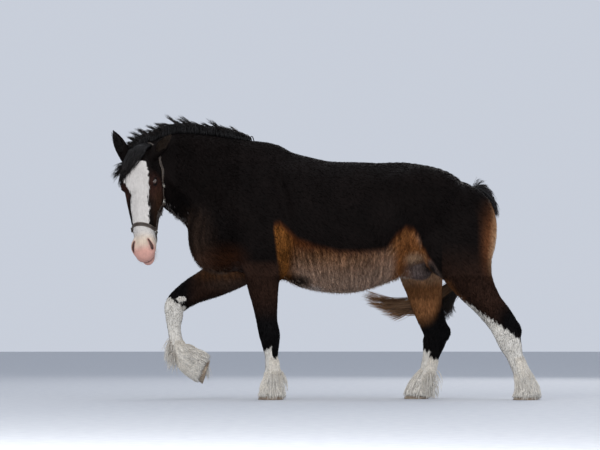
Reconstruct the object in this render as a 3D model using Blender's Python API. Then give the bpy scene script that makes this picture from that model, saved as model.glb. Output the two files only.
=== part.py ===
"""A life-size shire horse at a walk, looking round to its left. Metres, +Z up.

The horse faces -X and its left side faces -Y. Its origin is on the ground, under the middle of its box.
Each mass of flesh is a rounded limb or ball. Together they make one smooth field, whose zero surface is
the skin. The skin is meshed, thinned and parted with thin cuts, and locks of hair are fused on.
"""

import math
import random

import bmesh
import bpy
import numpy as np
import openvdb
from mathutils import Vector

for old in list(bpy.data.objects):
    bpy.data.objects.remove(old)

# Driving sizes.
POLL = (-1.074, -0.272, 1.672)  # top of the head, between the ears
CHIN = (-1.030, -0.520, 0.925)  # where the long axis of the head ends, past the lips
FACING = (-0.30, -0.954, 0.0)   # the way the face looks, seen from above
HEAD_LONG = 1.035               # length of the head against a light horse's of this size
GAP = 0.0003                    # between nodes that touch
SIDES = {"left": -1, "right": 1}

# Meshing.
BODY_CELL, HEAD_CELL, EAR_CELL = 0.014, 0.0062, 0.0045
BODY_FACES, HEAD_FACES, EAR_FACES = 4200, 1900, 170
SPAN_STEPS = 6                  # samples of a limb's path between two stations
FAR = 1.0                       # distance written where no shape reaches

# Colours: red, green, blue, roughness, metallic.
FINISHES = {
    "coat_dark": (0.030, 0.020, 0.016, 0.55, 0.0),
    "coat_brown": (0.110, 0.055, 0.030, 0.60, 0.0),
    "coat_white": (0.720, 0.680, 0.610, 0.65, 0.0),
    "hair_black": (0.016, 0.013, 0.012, 0.50, 0.0),
    "hoof_horn": (0.230, 0.190, 0.150, 0.45, 0.0),
    "eye_dark": (0.012, 0.008, 0.006, 0.08, 0.0),
    "halter_leather": (0.035, 0.022, 0.016, 0.50, 0.0),
    "halter_metal": (0.560, 0.550, 0.520, 0.30, 1.0),
}


def unit(v):
    v = np.asarray(v, float)
    return v / np.linalg.norm(v, axis=-1, keepdims=True)


def smooth_path(rows, steps=SPAN_STEPS):
    """Rows of numbers as a smooth curve through all of them, with a few samples to each span."""
    rows = np.array(rows, float)
    slope = np.gradient(rows, axis=0)
    out = []
    for i in range(len(rows) - 1):
        for t in np.arange(steps) / steps:
            out.append(
                (2 * t**3 - 3 * t**2 + 1) * rows[i]
                + (t**3 - 2 * t**2 + t) * slope[i]
                + (3 * t**2 - 2 * t**3) * rows[i + 1]
                + (t**3 - t**2) * slope[i + 1]
            )
    return np.array(out + [rows[-1]])


class Limb:
    """A rounded mass along a path. A station is x, y, z and the reach up, down and sideways there."""

    def __init__(self, stations, up=None, side=None, blend=0.05):
        path = smooth_path(stations)
        self.at = path[:, :3]
        self.reach = np.maximum(path[:, 3:6], 0.002)
        self.along = unit(np.gradient(self.at, axis=0))
        if side is None:
            self.side = unit(np.cross(self.along, up))
        else:
            self.side = np.tile(np.array(side, float), (len(path), 1))
        self.up = unit(np.cross(self.side, self.along))
        self.blend = blend
        most = self.reach.max()
        self.low = self.at.min(0) - most
        self.high = self.at.max(0) + most

    def distance(self, p):
        best = np.full(len(p), np.inf)
        place = np.zeros(len(p))
        for i in range(len(self.at) - 1):
            run = self.at[i + 1] - self.at[i]
            t = np.clip((p - self.at[i]) @ run / (run @ run), 0, 1)
            gap = ((p - self.at[i] - t[:, None] * run) ** 2).sum(1)
            near = gap < best
            best[near] = gap[near]
            place[near] = i + t[near]
        low = np.minimum(place.astype(int), len(self.at) - 2)
        t = (place - low)[:, None]

        def here(rows):
            return rows[low] * (1 - t) + rows[low + 1] * t

        q = p - here(self.at)
        reach = here(self.reach)
        u = (q * here(self.up)).sum(1)
        v = (q * here(self.side)).sum(1)
        w = (q * here(self.along)).sum(1)
        tall = np.where(u > 0, reach[:, 0], reach[:, 1])
        cap = np.minimum(tall, reach[:, 2])
        r = np.sqrt((u / tall) ** 2 + (v / reach[:, 2]) ** 2 + (w / cap) ** 2)
        return np.linalg.norm(q, axis=1) * (1 - 1 / np.maximum(r, 1e-3))


class Ball:
    """An ellipsoid. The rows of turn are the axes that its three reaches go along."""

    def __init__(self, at, reach, turn=None, blend=0.05):
        self.at = np.array(at, float)
        self.reach = np.array(reach, float)
        self.turn = np.eye(3) if turn is None else np.array(turn, float)
        self.blend = blend
        extent = np.sqrt(((self.turn * self.reach[:, None]) ** 2).sum(0))
        self.low = self.at - extent
        self.high = self.at + extent

    def distance(self, p):
        q = (p - self.at) @ self.turn.T
        k = np.linalg.norm(q / self.reach, axis=1)
        return k * (k - 1) / np.maximum(np.linalg.norm(q / self.reach**2, axis=1), 1e-6)


def distance(shapes, p):
    """How far each point lies outside the flesh. A shape is added or, with sign -1, cut away."""
    d = np.full(len(p), FAR)
    for sign, shape in shapes:
        k = shape.blend
        near = ((p > shape.low - 2 * k) & (p < shape.high + 2 * k)).all(1)
        if not near.any():
            continue
        a = sign * d[near]
        b = shape.distance(p[near])
        h = np.clip(0.5 + 0.5 * (b - a) / k, 0, 1)
        d[near] = sign * (b * (1 - h) + a * h - k * h * (1 - h))
    return d


def surface(shapes, low, high, cell, coarse=4):
    """Points and faces of the skin in a box, from a grid that is fine only near the skin."""
    low = np.array(low, float)
    blocks = np.ceil((np.array(high, float) - low) / (cell * coarse)).astype(int)
    corner = np.indices(blocks).reshape(3, -1).T
    rough = distance(shapes, low + (corner + 0.5) * cell * coarse)
    near = np.abs(rough) < 2.2 * cell * coarse
    grid = rough.reshape(blocks).repeat(coarse, 0).repeat(coarse, 1).repeat(coarse, 2)
    step = np.indices((coarse,) * 3).reshape(3, -1).T
    cells = (corner[near, None] * coarse + step).reshape(-1, 3)
    grid[tuple(cells.T)] = distance(shapes, low + (cells + 0.5) * cell)
    volume = openvdb.FloatGrid(FAR)
    volume.copyFromArray(np.ascontiguousarray(grid, np.float32))
    points, triangles, quads = volume.convertToPolygons(isovalue=0.0, adaptivity=0.0)
    faces = [tuple(int(i) for i in face) for face in list(triangles) + list(quads)]
    return low + (points.astype(float) + 0.5) * cell, faces


# The head's own frame: down its length from the poll, out through the face, and to its left.
DOWN = unit(np.subtract(CHIN, POLL))
OUT = unit(np.array(FACING) - np.dot(FACING, DOWN) * DOWN)
LEFT = np.cross(OUT, DOWN)


def head(down, out, left=0.0):
    """A place on the head, measured from the poll along the head's own frame."""
    return np.array(POLL) + HEAD_LONG * down * DOWN + out * OUT + left * LEFT


def turned(degrees):
    """Axes turned about Y, for a ball that leans towards the tail."""
    c, s = math.cos(math.radians(degrees)), math.sin(math.radians(degrees))
    return [[c, 0, -s], [0, 1, 0], [s, 0, c]]


def trunk():
    """Barrel, withers, shoulders, breast, croup and quarters."""
    barrel = [
        (-0.50, 0.0, 1.13, 0.28, 0.27, 0.235),
        (-0.30, 0.0, 1.17, 0.40, 0.345, 0.285),
        (-0.08, 0.0, 1.20, 0.44, 0.405, 0.320),
        (0.14, 0.0, 1.19, 0.430, 0.450, 0.350),
        (0.34, 0.0, 1.18, 0.438, 0.450, 0.362),
        (0.55, 0.0, 1.20, 0.418, 0.400, 0.350),
        (0.74, 0.0, 1.24, 0.383, 0.350, 0.322),
        (0.90, 0.0, 1.25, 0.328, 0.320, 0.300),
        (1.02, 0.0, 1.22, 0.275, 0.300, 0.265),
    ]
    ridge = [
        (-0.42, 0.0, 1.62, 0.11, 0.12, 0.100),
        (-0.22, 0.0, 1.63, 0.11, 0.12, 0.085),
        (-0.06, 0.0, 1.58, 0.085, 0.12, 0.090),
        (0.10, 0.0, 1.53, 0.070, 0.10, 0.110),
    ]
    shapes = [
        (1, Limb(barrel, up=(0, 0, 1), blend=0.03)),
        (1, Limb(ridge, up=(0, 0, 1), blend=0.08)),
    ]
    for y in SIDES.values():
        thigh = 1.125 if y < 0 else 1.055
        shapes += [
            (1, Ball((-0.42, y * 0.150, 1.28), (0.17, 0.115, 0.29), turned(-22), 0.09)),
            (1, Ball((-0.60, y * 0.135, 1.12), (0.145, 0.120, 0.17), None, 0.10)),
            (1, Ball((-0.24, y * 0.215, 1.03), (0.17, 0.085, 0.17), turned(25), 0.06)),
            (1, Ball((-0.58, y * 0.090, 1.02), (0.14, 0.105, 0.15), None, 0.06)),
            (1, Ball((0.85, y * 0.165, 1.35), (0.26, 0.155, 0.210), turned(10), 0.08)),
            (1, Ball((0.68, y * 0.235, 1.40), (0.10, 0.060, 0.09), None, 0.10)),
            (1, Ball((thigh, y * 0.130, 1.13), (0.205, 0.130, 0.30), turned(6), 0.07)),
            (1, Ball((-0.31, y * 0.215, 1.20), (0.085, 0.070, 0.22), turned(-32), 0.06)),
            (1, Ball((0.80, y * 0.040, 0.875), (0.100, 0.050, 0.055), None, 0.05)),
        ]
        hollow = 0.330 if y < 0 else 0.335
        behind_shoulder = [
            (-0.16, y * 0.235, 1.50, 0.030, 0.030, 0.030),
            (-0.12, y * 0.300, 1.36, 0.034, 0.034, 0.034),
            (-0.09, y * 0.345, 1.20, 0.034, 0.034, 0.034),
            (-0.10, y * 0.345, 1.06, 0.026, 0.026, 0.026),
        ]
        thigh_line = [
            (thigh - 0.06, y * 0.290, 1.36, 0.024, 0.024, 0.024),
            (thigh + 0.02, y * 0.315, 1.18, 0.030, 0.030, 0.030),
            (thigh + 0.03, y * 0.340, 1.00, 0.024, 0.024, 0.024),
        ]
        shapes += [
            (-1, Ball((0.545, y * hollow * 1.17, 1.36), (0.100, 0.060, 0.150), turned(20), 0.09)),
            (-1, Limb(behind_shoulder, up=(1, 0, 0), blend=0.05)),
            (-1, Limb(thigh_line, up=(1, 0, 0), blend=0.05)),
        ]
    spine = [
        (0.30, 0.0, 1.672, 0.035, 0.035, 0.035),
        (0.55, 0.0, 1.668, 0.042, 0.042, 0.038),
        (0.85, 0.0, 1.640, 0.050, 0.050, 0.040),
        (1.05, 0.0, 1.560, 0.040, 0.040, 0.036),
    ]
    breast = [
        (-0.815, 0.0, 1.22, 0.030, 0.030, 0.030),
        (-0.790, 0.0, 1.05, 0.036, 0.036, 0.030),
        (-0.725, 0.0, 0.90, 0.030, 0.030, 0.030),
    ]
    shapes += [
        (-1, Limb(spine, up=(0, 0, 1), blend=0.06)),
        (-1, Limb(breast, up=(1, 0, 0), blend=0.05)),
    ]
    return shapes


def neck():
    crest = [
        (-0.30, 0.000, 1.36, 0.36, 0.40, 0.215),
        (-0.54, -0.015, 1.46, 0.325, 0.36, 0.175),
        (-0.75, -0.055, 1.535, 0.275, 0.315, 0.150),
        (-0.91, -0.115, 1.570, 0.230, 0.260, 0.130),
        (-1.02, -0.180, 1.590, 0.150, 0.190, 0.110),
    ]
    shapes = [(1, Limb(crest, up=(0, 0, 1), blend=0.08))]
    for y in SIDES.values():
        muscle = [
            (-0.60, y * 0.165, 1.20, 0.050, 0.050, 0.045),
            (-0.71, y * 0.150 - 0.030, 1.33, 0.050, 0.050, 0.040),
            (-0.83, y * 0.135 - 0.075, 1.44, 0.045, 0.045, 0.035),
            (-0.93, y * 0.110 - 0.125, 1.53, 0.040, 0.040, 0.030),
        ]
        shapes.append((1, Limb(muscle, up=(0, 1, 0), blend=0.06)))
    return shapes


# Each leg runs down from the body. A station's reaches are forwards, backwards and to the side.
LEG_PATHS = {
    "foreleg_left": [
        (-0.27, -0.195, 0.98, 0.14, 0.15, 0.090),
        (-0.255, -0.190, 0.87, 0.125, 0.125, 0.090),
        (-0.248, -0.180, 0.76, 0.106, 0.108, 0.082),
        (-0.235, -0.168, 0.65, 0.088, 0.088, 0.070),
        (-0.222, -0.155, 0.53, 0.074, 0.072, 0.062),
        (-0.205, -0.146, 0.44, 0.073, 0.072, 0.066),
        (-0.199, -0.140, 0.37, 0.060, 0.062, 0.052),
        (-0.193, -0.132, 0.29, 0.045, 0.048, 0.041),
        (-0.190, -0.124, 0.20, 0.048, 0.054, 0.048),
        (-0.203, -0.118, 0.13, 0.044, 0.050, 0.048),
        (-0.213, -0.114, 0.085, 0.058, 0.058, 0.060),
    ],
    "foreleg_right": [
        (-0.27, 0.195, 1.00, 0.14, 0.14, 0.090),
        (-0.42, 0.200, 0.89, 0.13, 0.12, 0.098),
        (-0.58, 0.200, 0.805, 0.120, 0.105, 0.086),
        (-0.73, 0.192, 0.735, 0.098, 0.085, 0.072),
        (-0.848, 0.186, 0.650, 0.076, 0.074, 0.068),
        (-0.864, 0.182, 0.565, 0.062, 0.064, 0.056),
        (-0.862, 0.180, 0.475, 0.047, 0.048, 0.043),
        (-0.850, 0.180, 0.395, 0.047, 0.050, 0.043),
        (-0.832, 0.180, 0.325, 0.050, 0.054, 0.050),
        (-0.790, 0.180, 0.262, 0.044, 0.046, 0.048),
        (-0.758, 0.180, 0.228, 0.058, 0.056, 0.060),
    ],
    "hindleg_left": [
        (1.00, -0.140, 1.26, 0.24, 0.24, 0.120),
        (1.06, -0.175, 1.04, 0.215, 0.245, 0.140),
        (1.105, -0.200, 0.90, 0.175, 0.208, 0.130),
        (1.175, -0.202, 0.77, 0.135, 0.138, 0.105),
        (1.262, -0.198, 0.65, 0.105, 0.098, 0.082),
        (1.342, -0.193, 0.55, 0.086, 0.092, 0.064),
        (1.395, -0.190, 0.465, 0.078, 0.086, 0.060),
        (1.426, -0.185, 0.38, 0.062, 0.066, 0.048),
        (1.450, -0.180, 0.29, 0.048, 0.052, 0.042),
        (1.474, -0.175, 0.20, 0.050, 0.058, 0.049),
        (1.490, -0.170, 0.13, 0.046, 0.052, 0.049),
        (1.503, -0.168, 0.085, 0.060, 0.060, 0.061),
    ],
    "hindleg_right": [
        (0.95, 0.140, 1.26, 0.24, 0.24, 0.120),
        (0.88, 0.172, 1.04, 0.210, 0.215, 0.140),
        (0.835, 0.190, 0.90, 0.165, 0.175, 0.128),
        (0.850, 0.188, 0.76, 0.128, 0.130, 0.100),
        (0.872, 0.180, 0.64, 0.108, 0.108, 0.080),
        (0.902, 0.172, 0.54, 0.094, 0.096, 0.064),
        (0.930, 0.166, 0.45, 0.086, 0.090, 0.060),
        (0.925, 0.164, 0.38, 0.068, 0.074, 0.049),
        (0.900, 0.162, 0.29, 0.050, 0.054, 0.043),
        (0.872, 0.160, 0.20, 0.052, 0.058, 0.050),
        (0.845, 0.160, 0.13, 0.048, 0.052, 0.050),
        (0.828, 0.160, 0.085, 0.062, 0.060, 0.062),
    ],
}


def legs():
    shapes = [(1, Limb(path, side=(0, 1, 0), blend=0.05)) for path in LEG_PATHS.values()]
    shapes += [
        (1, Ball((-0.150, -0.215, 0.89), (0.070, 0.050, 0.070), None, 0.05)),
        (1, Ball((-0.260, 0.215, 0.86), (0.080, 0.055, 0.070), None, 0.05)),
        (1, Ball((0.945, -0.235, 0.98), (0.120, 0.075, 0.130), None, 0.06)),
        (1, Ball((0.760, 0.225, 0.97), (0.110, 0.075, 0.120), None, 0.06)),
        (1, Ball((1.450, -0.188, 0.475), (0.034, 0.030, 0.045), turned(-20), 0.03)),
        (1, Ball((1.000, 0.166, 0.455), (0.032, 0.030, 0.045), turned(0), 0.03)),
    ]
    return shapes


EYE_RADIUS = 0.026
LID = 0.0045                      # thickness of an eyelid
EYE_AT = (0.250, 0.040, 0.104)    # down, out and to the side
GAZE = (0.05, 0.42, 0.90)         # the way an eye looks, along the same three
EYE_SLANT = (0.80, 0.55, -0.30)   # from the back corner of the eye to its front corner


def eye_frame(side):
    """The middle of an eye, the way it looks, along its opening, and up across the lids."""
    def way(down, out, left):
        return unit(down * DOWN + out * OUT + side * left * LEFT)

    gaze = way(*GAZE)
    along = way(*EYE_SLANT)
    along = unit(along - np.dot(along, gaze) * gaze)
    across = np.cross(gaze, along)
    if np.dot(across, DOWN) > 0:
        across = -across
    return head(EYE_AT[0], EYE_AT[1], side * EYE_AT[2]), gaze, along, across


def eye_opening(side):
    """The almond between the lids: a lens that reaches into the eyeball."""
    middle, gaze, along, across = eye_frame(side)
    r = EYE_RADIUS
    return Ball(
        middle + 0.95 * r * gaze + 0.05 * r * across,
        (0.98 * r, 0.52 * r, 0.75 * r),
        [along, across, gaze],
        0.004,
    )


def brow(side):
    """The fold of skin over an eye, from its front corner to its back corner."""
    middle, gaze, along, across = eye_frame(side)
    path = []
    for i in range(7):
        t = i / 3 - 1
        turn = math.radians(62) * t
        rise = math.radians(58) * math.cos(math.pi / 2 * t) + math.radians(8)
        place = math.cos(rise) * (math.cos(turn) * gaze + math.sin(turn) * along)
        path.append(middle + (EYE_RADIUS + 0.004) * (place + math.sin(rise) * across))
    return Limb([(*p, 0.0075, 0.0075, 0.0075) for p in path], up=gaze, blend=0.010)


def head_shapes():
    """Skull, jaw, cheeks, brow, muzzle and lips, with the sockets, nostrils and mouth cut in."""
    skull = [
        (0.045, -0.030, 0.075, 0.100, 0.078),
        (0.120, -0.022, 0.092, 0.150, 0.094),
        (0.200, -0.012, 0.096, 0.185, 0.103),
        (0.280, -0.012, 0.092, 0.190, 0.102),
        (0.360, -0.014, 0.086, 0.160, 0.098),
        (0.450, -0.018, 0.076, 0.130, 0.086),
        (0.540, -0.022, 0.070, 0.104, 0.074),
        (0.620, -0.025, 0.070, 0.085, 0.070),
        (0.695, -0.034, 0.060, 0.062, 0.070),
    ]
    stations = [(*head(l, h), up, down, side) for l, h, up, down, side in skull]
    shapes = [(1, Limb(stations, up=OUT, blend=0.05))]
    frame = [DOWN, OUT, LEFT]
    for s in (1, -1):
        down, out, across = EYE_AT
        crest = [
            (*head(0.26, 0.002, s * 0.088), 0.026, 0.026, 0.022),
            (*head(0.34, -0.006, s * 0.086), 0.019, 0.019, 0.014),
            (*head(0.44, -0.016, s * 0.074), 0.012, 0.012, 0.009),
            (*head(0.52, -0.024, s * 0.060), 0.008, 0.008, 0.006),
        ]
        bar = [
            (*head(0.32, -0.165, s * 0.052), 0.036, 0.034, 0.026),
            (*head(0.50, -0.115, s * 0.034), 0.032, 0.028, 0.024),
            (*head(0.66, -0.092, s * 0.024), 0.026, 0.022, 0.024),
        ]
        shapes += [
            (1, Ball(head(0.255, -0.105, s * 0.064), (0.130, 0.112, 0.050), frame, 0.05)),
            (1, Ball(head(down - 0.055, out + 0.012, s * 0.046), (0.110, 0.034, 0.060), frame, 0.04)),
            (1, Ball(head(down - 0.016, out + 0.006, s * 0.084), (0.054, 0.040, 0.031), frame, 0.03)),
            (1, Limb(crest, up=OUT, blend=0.030)),
            (1, Limb(bar, up=OUT, blend=0.04)),
            (1, Ball(head(0.655, -0.004, s * 0.054), (0.052, 0.036, 0.026), frame, 0.022)),
        ]
    shapes += [
        (1, Ball(head(0.722, -0.016), (0.043, 0.046, 0.063), frame, 0.025)),
        (1, Ball(head(0.714, -0.080), (0.055, 0.034, 0.048), frame, 0.018)),
    ]
    for s in (1, -1):
        nostril = [
            (*head(0.622, 0.030, s * 0.062), 0.006, 0.006, 0.006),
            (*head(0.642, 0.026, s * 0.072), 0.011, 0.011, 0.010),
            (*head(0.664, 0.012, s * 0.078), 0.016, 0.016, 0.013),
            (*head(0.682, -0.002, s * 0.072), 0.011, 0.011, 0.011),
        ]
        wing = [
            (*head(0.610, 0.020, s * 0.052), 0.008, 0.008, 0.008),
            (*head(0.634, 0.020, s * 0.072), 0.010, 0.010, 0.010),
            (*head(0.664, 0.000, s * 0.080), 0.012, 0.012, 0.010),
            (*head(0.696, -0.022, s * 0.070), 0.010, 0.010, 0.009),
        ]
        mouth = [
            (*head(0.660, -0.070, s * 0.066), 0.006, 0.006, 0.010),
            (*head(0.705, -0.062, s * 0.064), 0.007, 0.007, 0.012),
            (*head(0.744, -0.053, s * 0.042), 0.0065, 0.0065, 0.014),
            (*head(0.762, -0.048, 0.0), 0.0065, 0.0065, 0.016),
        ]
        shapes += [
            (1, Ball(eye_frame(s)[0], [EYE_RADIUS + LID] * 3, None, 0.016)),
            (1, brow(s)),
            (-1, eye_opening(s)),
            (1, Limb(wing, up=OUT, blend=0.022)),
            (-1, Limb(nostril, up=OUT, blend=0.006)),
            (-1, Limb(mouth, up=OUT, blend=0.008)),
        ]
    return shapes


# An ear's base and tip, and the way its cup opens.
EARS = {
    "left": ((-0.985, -0.295, 1.640), (-0.868, -0.255, 1.775), (0.35, -0.90, 0.25)),
    "right": ((-1.164, -0.245, 1.635), (-1.252, -0.275, 1.802), (-0.45, -0.85, 0.15)),
}


# Along an ear: share of its length, half its width, half its depth, and how much of that is hollow.
EAR_PROFILE = (
    (-0.12, 0.028, 0.031, 0),
    (0.08, 0.032, 0.034, 0),
    (0.22, 0.037, 0.035, 0.38),
    (0.42, 0.042, 0.033, 0.66),
    (0.64, 0.036, 0.026, 0.70),
    (0.84, 0.021, 0.016, 0.66),
    (0.93, 0.012, 0.010, 0.50),
    (1.00, 0.005, 0.005, 0),
)


def ear_shapes(base, tip, opening):
    base, tip = np.array(base), np.array(tip)
    along = unit(tip - base)
    opening = unit(np.array(opening) - np.dot(opening, along) * along)
    long = np.linalg.norm(tip - base)
    outer, inner = [], []
    for t, wide, deep, hollow in EAR_PROFILE:
        outer.append((*(base + along * long * t), deep, deep, wide))
        if hollow:
            place = base + along * long * t + opening * deep * 0.70
            inner.append((*place, deep * hollow * 1.2, deep * hollow * 1.2, wide * hollow))
    return [(1, Limb(outer, up=opening, blend=0.01)), (-1, Limb(inner, up=opening, blend=0.007))]


FLESH = trunk() + neck() + legs() + head_shapes()


def material(slot):
    made = bpy.data.materials.get(slot)
    if made:
        return made
    made = bpy.data.materials.new(slot)
    made.use_nodes = True
    shader = made.node_tree.nodes["Principled BSDF"]
    red, green, blue, rough, metal = FINISHES[slot]
    shader.inputs["Base Color"].default_value = (red, green, blue, 1)
    shader.inputs["Roughness"].default_value = rough
    shader.inputs["Metallic"].default_value = metal
    return made


def add_object(name, points, faces, slot="coat_dark"):
    mesh = bpy.data.meshes.new(name)
    mesh.from_pydata([tuple(p) for p in points], [], faces)
    made = bpy.data.objects.new(name, mesh)
    bpy.context.collection.objects.link(made)
    mesh.materials.append(material(slot))
    work = bmesh.new()
    work.from_mesh(mesh)
    bmesh.ops.triangulate(work, faces=work.faces)
    bmesh.ops.recalc_face_normals(work, faces=work.faces)
    work.to_mesh(mesh)
    work.free()
    return made


def apply_modifiers(made):
    """Replaces the mesh by what its modifiers make of it."""
    graph = bpy.context.evaluated_depsgraph_get()
    graph.update()
    mesh = bpy.data.meshes.new_from_object(made.evaluated_get(graph))
    old = made.data
    made.modifiers.clear()
    made.data = mesh
    bpy.data.meshes.remove(old)


def thin(made, faces):
    """Thins the mesh to a number of triangles."""
    work = bmesh.new()
    work.from_mesh(made.data)
    bmesh.ops.triangulate(work, faces=work.faces)
    total = len(work.faces)
    work.to_mesh(made.data)
    work.free()
    less = made.modifiers.new("thin", "DECIMATE")
    less.ratio = faces / total
    apply_modifiers(made)


def combine(made, others, operation, solver="EXACT"):
    """Joins or cuts with other objects, which are removed."""
    helpers = bpy.data.collections.new("helpers")
    for other in others:
        for home in list(other.users_collection):
            home.objects.unlink(other)
        helpers.objects.link(other)
    bpy.context.scene.collection.children.link(helpers)
    step = made.modifiers.new("combine", "BOOLEAN")
    step.operation = operation
    step.solver = solver
    step.operand_type = "COLLECTION"
    step.collection = helpers
    apply_modifiers(made)
    for other in list(helpers.objects):
        bpy.data.objects.remove(other)
    bpy.data.collections.remove(helpers)


def pieces_of(made):
    """The mesh's separate closed surfaces, each as points and faces."""
    work = bmesh.new()
    work.from_mesh(made.data)
    bmesh.ops.triangulate(work, faces=work.faces)
    work.verts.index_update()
    work.faces.index_update()
    left = set(work.verts)
    found = []
    while left:
        stack = [left.pop()]
        group = set(stack)
        while stack:
            for edge in stack.pop().link_edges:
                for vert in edge.verts:
                    if vert in left:
                        left.remove(vert)
                        group.add(vert)
                        stack.append(vert)
        group = sorted(group, key=lambda vert: vert.index)
        order = {vert: i for i, vert in enumerate(group)}
        faces = sorted({face for vert in group for face in vert.link_faces}, key=lambda face: face.index)
        found.append(
            ([tuple(v.co) for v in group], [[order[v] for v in face.verts] for face in faces])
        )
    work.free()
    return found


def flatten(made):
    """Joins the triangles that lie almost in one plane, then parts what is left into triangles again."""
    work = bmesh.new()
    work.from_mesh(made.data)
    bmesh.ops.dissolve_limit(
        work, angle_limit=math.radians(3), verts=work.verts, edges=work.edges, use_dissolve_boundaries=False
    )
    bmesh.ops.triangulate(work, faces=work.faces)
    work.to_mesh(made.data)
    work.free()


def volume_of(points, faces):
    corners = np.array(points)[np.array(faces)]
    return np.linalg.det(corners).sum() / 6


def keep_largest(made):
    found = [piece for piece in pieces_of(made) if len(piece[1]) > 3]
    points, faces = max(found, key=lambda piece: abs(volume_of(*piece)))
    slots = list(made.data.materials)
    mesh = bpy.data.meshes.new(made.name)
    mesh.from_pydata(points, [], faces)
    for slot in slots[:1]:
        mesh.materials.append(slot)
    made.data = mesh


def box(middle, along, up, size):
    """A cutter: a box about a point, whose long axes are given."""
    along = unit(along)
    up = unit(np.array(up, float) - np.dot(up, along) * along)
    side = np.cross(up, along)
    points = []
    for i in (-0.5, 0.5):
        for j in (-0.5, 0.5):
            for k in (-0.5, 0.5):
                points.append(
                    np.array(middle) + i * size[0] * along + j * size[1] * side + k * size[2] * up
                )
    faces = [(0, 1, 3, 2), (4, 6, 7, 5), (0, 4, 5, 1), (2, 3, 7, 6), (0, 2, 6, 4), (1, 5, 7, 3)]
    return add_object("cutter", points, faces)


# How the body is parted: a place on each cut, the way out of the body there, and the reach of the part
# beyond it, along that way, forwards and backwards, and to its left and right.
PARTS = {
    "head": (head(0.15, -0.172), 0.27 * DOWN + 0.96 * OUT, LEFT, (0.60, 0.32, 0.75)),
    "neck": ((-0.535, 0.0, 1.49), (-0.776, 0.0, 0.629), (0, 1, 0), (0.75, 0.40, 0.43)),
    "foreleg_left": ((-0.26, -0.19, 0.785), (0, 0, -1), (0, 1, 0), (0.90, 0.16, 0.18)),
    "foreleg_right": ((-0.57, 0.20, 0.846), (-0.41, 0, -0.91), (0, 1, 0), (0.90, 0.17, 0.36)),
    "hindleg_left": ((1.12, -0.20, 0.875), (0.33, 0, -0.94), (0, 1, 0), (1.00, 0.19, 0.34)),
    "hindleg_right": ((0.85, 0.20, 0.835), (0, 0, -1), (0, 1, 0), (0.90, 0.19, 0.28)),
}
LOWER_LEGS = {
    "foreleg_left": ((-0.200, -0.143, 0.395), (0.05, 0.1, -1)),
    "foreleg_right": ((-0.864, 0.184, 0.600), (0, 0, -1)),
    "hindleg_left": ((1.408, -0.188, 0.425), (0.35, 0, -0.94)),
    "hindleg_right": ((0.930, 0.165, 0.405), (-0.15, 0, -1)),
}


def region(place, way, side, reach, gap=0.0):
    """A box beyond a cut: it starts at the cut, less a gap, and reaches as far as the part does."""
    way = unit(way)
    deep, wide, long = reach
    middle = np.array(place) + way * (deep / 2 - gap / 2)
    return box(middle, way, side, (deep + gap, 2 * long + 2 * gap, 2 * wide + 2 * gap))


def part_off(whole, name, place, way, side, reach):
    """Moves what lies in a region from one object to a new one, leaving a gap at the cut."""
    piece = whole.copy()
    piece.data = whole.data.copy()
    piece.name = name
    bpy.context.collection.objects.link(piece)
    combine(piece, [region(place, way, side, reach)], "INTERSECT")
    combine(whole, [region(place, way, side, reach, GAP)], "DIFFERENCE")
    keep_largest(piece)
    keep_largest(whole)
    return piece


def sphere(name, middle, radius, slot, rings=8, around=12, axis=(0, 0, 1)):
    axis = unit(axis)
    side = unit(np.cross(axis, (0.31, 0.95, 0.1)))
    other = np.cross(axis, side)
    points = [np.array(middle) + radius * axis]
    for i in range(1, rings):
        tilt = math.pi * i / rings
        for j in range(around):
            turn = 2 * math.pi * j / around
            flat = math.cos(turn) * side + math.sin(turn) * other
            points.append(np.array(middle) + radius * (math.cos(tilt) * axis + math.sin(tilt) * flat))
    points.append(np.array(middle) - radius * axis)
    last = len(points) - 1
    faces = []
    for j in range(around):
        k = (j + 1) % around
        faces.append((0, 1 + j, 1 + k))
        for i in range(rings - 2):
            a = 1 + i * around
            faces.append((a + j, a + around + j, a + around + k, a + k))
        a = 1 + (rings - 2) * around
        faces.append((a + k, a + j, last))
    return add_object(name, points, faces, slot)


# Hooves: the middle of the sole, the way out through it, and the way its toe points.
HOOVES = {
    "fore_left": ((-0.194, -0.114, 0.0), (0, 0, -1), (-1, -0.08, 0)),
    "fore_right": ((-0.640, 0.180, 0.185), (0.95, 0, -0.31), (-0.31, 0, -0.95)),
    "hind_left": ((1.520, -0.168, 0.0), (0, 0, -1), (-1, -0.10, 0)),
    "hind_right": ((0.800, 0.160, 0.0), (0, 0, -1), (-1, 0.10, 0)),
}
HOOF_HIGH = 0.088        # sole to coronet at the middle
HOOF_SLOPE = 0.30        # how much the coronet rises towards the toe
HOOF_BACK = 0.024        # how far the coronet sits behind the sole
HOOF_RINGS = ((0.0, 0.090), (0.10, 0.091), (0.95, 0.067), (1.0, 0.064))


def hoof(name, middle, way, toe):
    """A hoof: rings from the sole up to the sloping coronet, flattened at the heel."""
    up = -unit(way)
    toe = unit(np.array(toe) - np.dot(toe, up) * up)
    side = np.cross(up, toe)
    points, faces = [], []
    around = 18
    for share, radius in HOOF_RINGS:
        for j in range(around):
            turn = 2 * math.pi * j / around
            ahead = math.cos(turn) * radius
            if ahead < 0:
                ahead *= 0.88
            high = HOOF_HIGH * share + HOOF_SLOPE * share * ahead
            back = HOOF_BACK * share
            points.append(
                np.array(middle) + up * high + toe * (ahead - back) + side * math.sin(turn) * radius * 0.98
            )
    for i in range(len(HOOF_RINGS) - 1):
        for j in range(around):
            k = (j + 1) % around
            a = i * around
            faces.append((a + j, a + k, a + around + k, a + around + j))
    faces.append(tuple(range(around))[::-1])
    a = (len(HOOF_RINGS) - 1) * around
    faces.append(tuple(range(a, a + around)))
    return add_object("hoof_" + name, points, faces, "hoof_horn")


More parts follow.
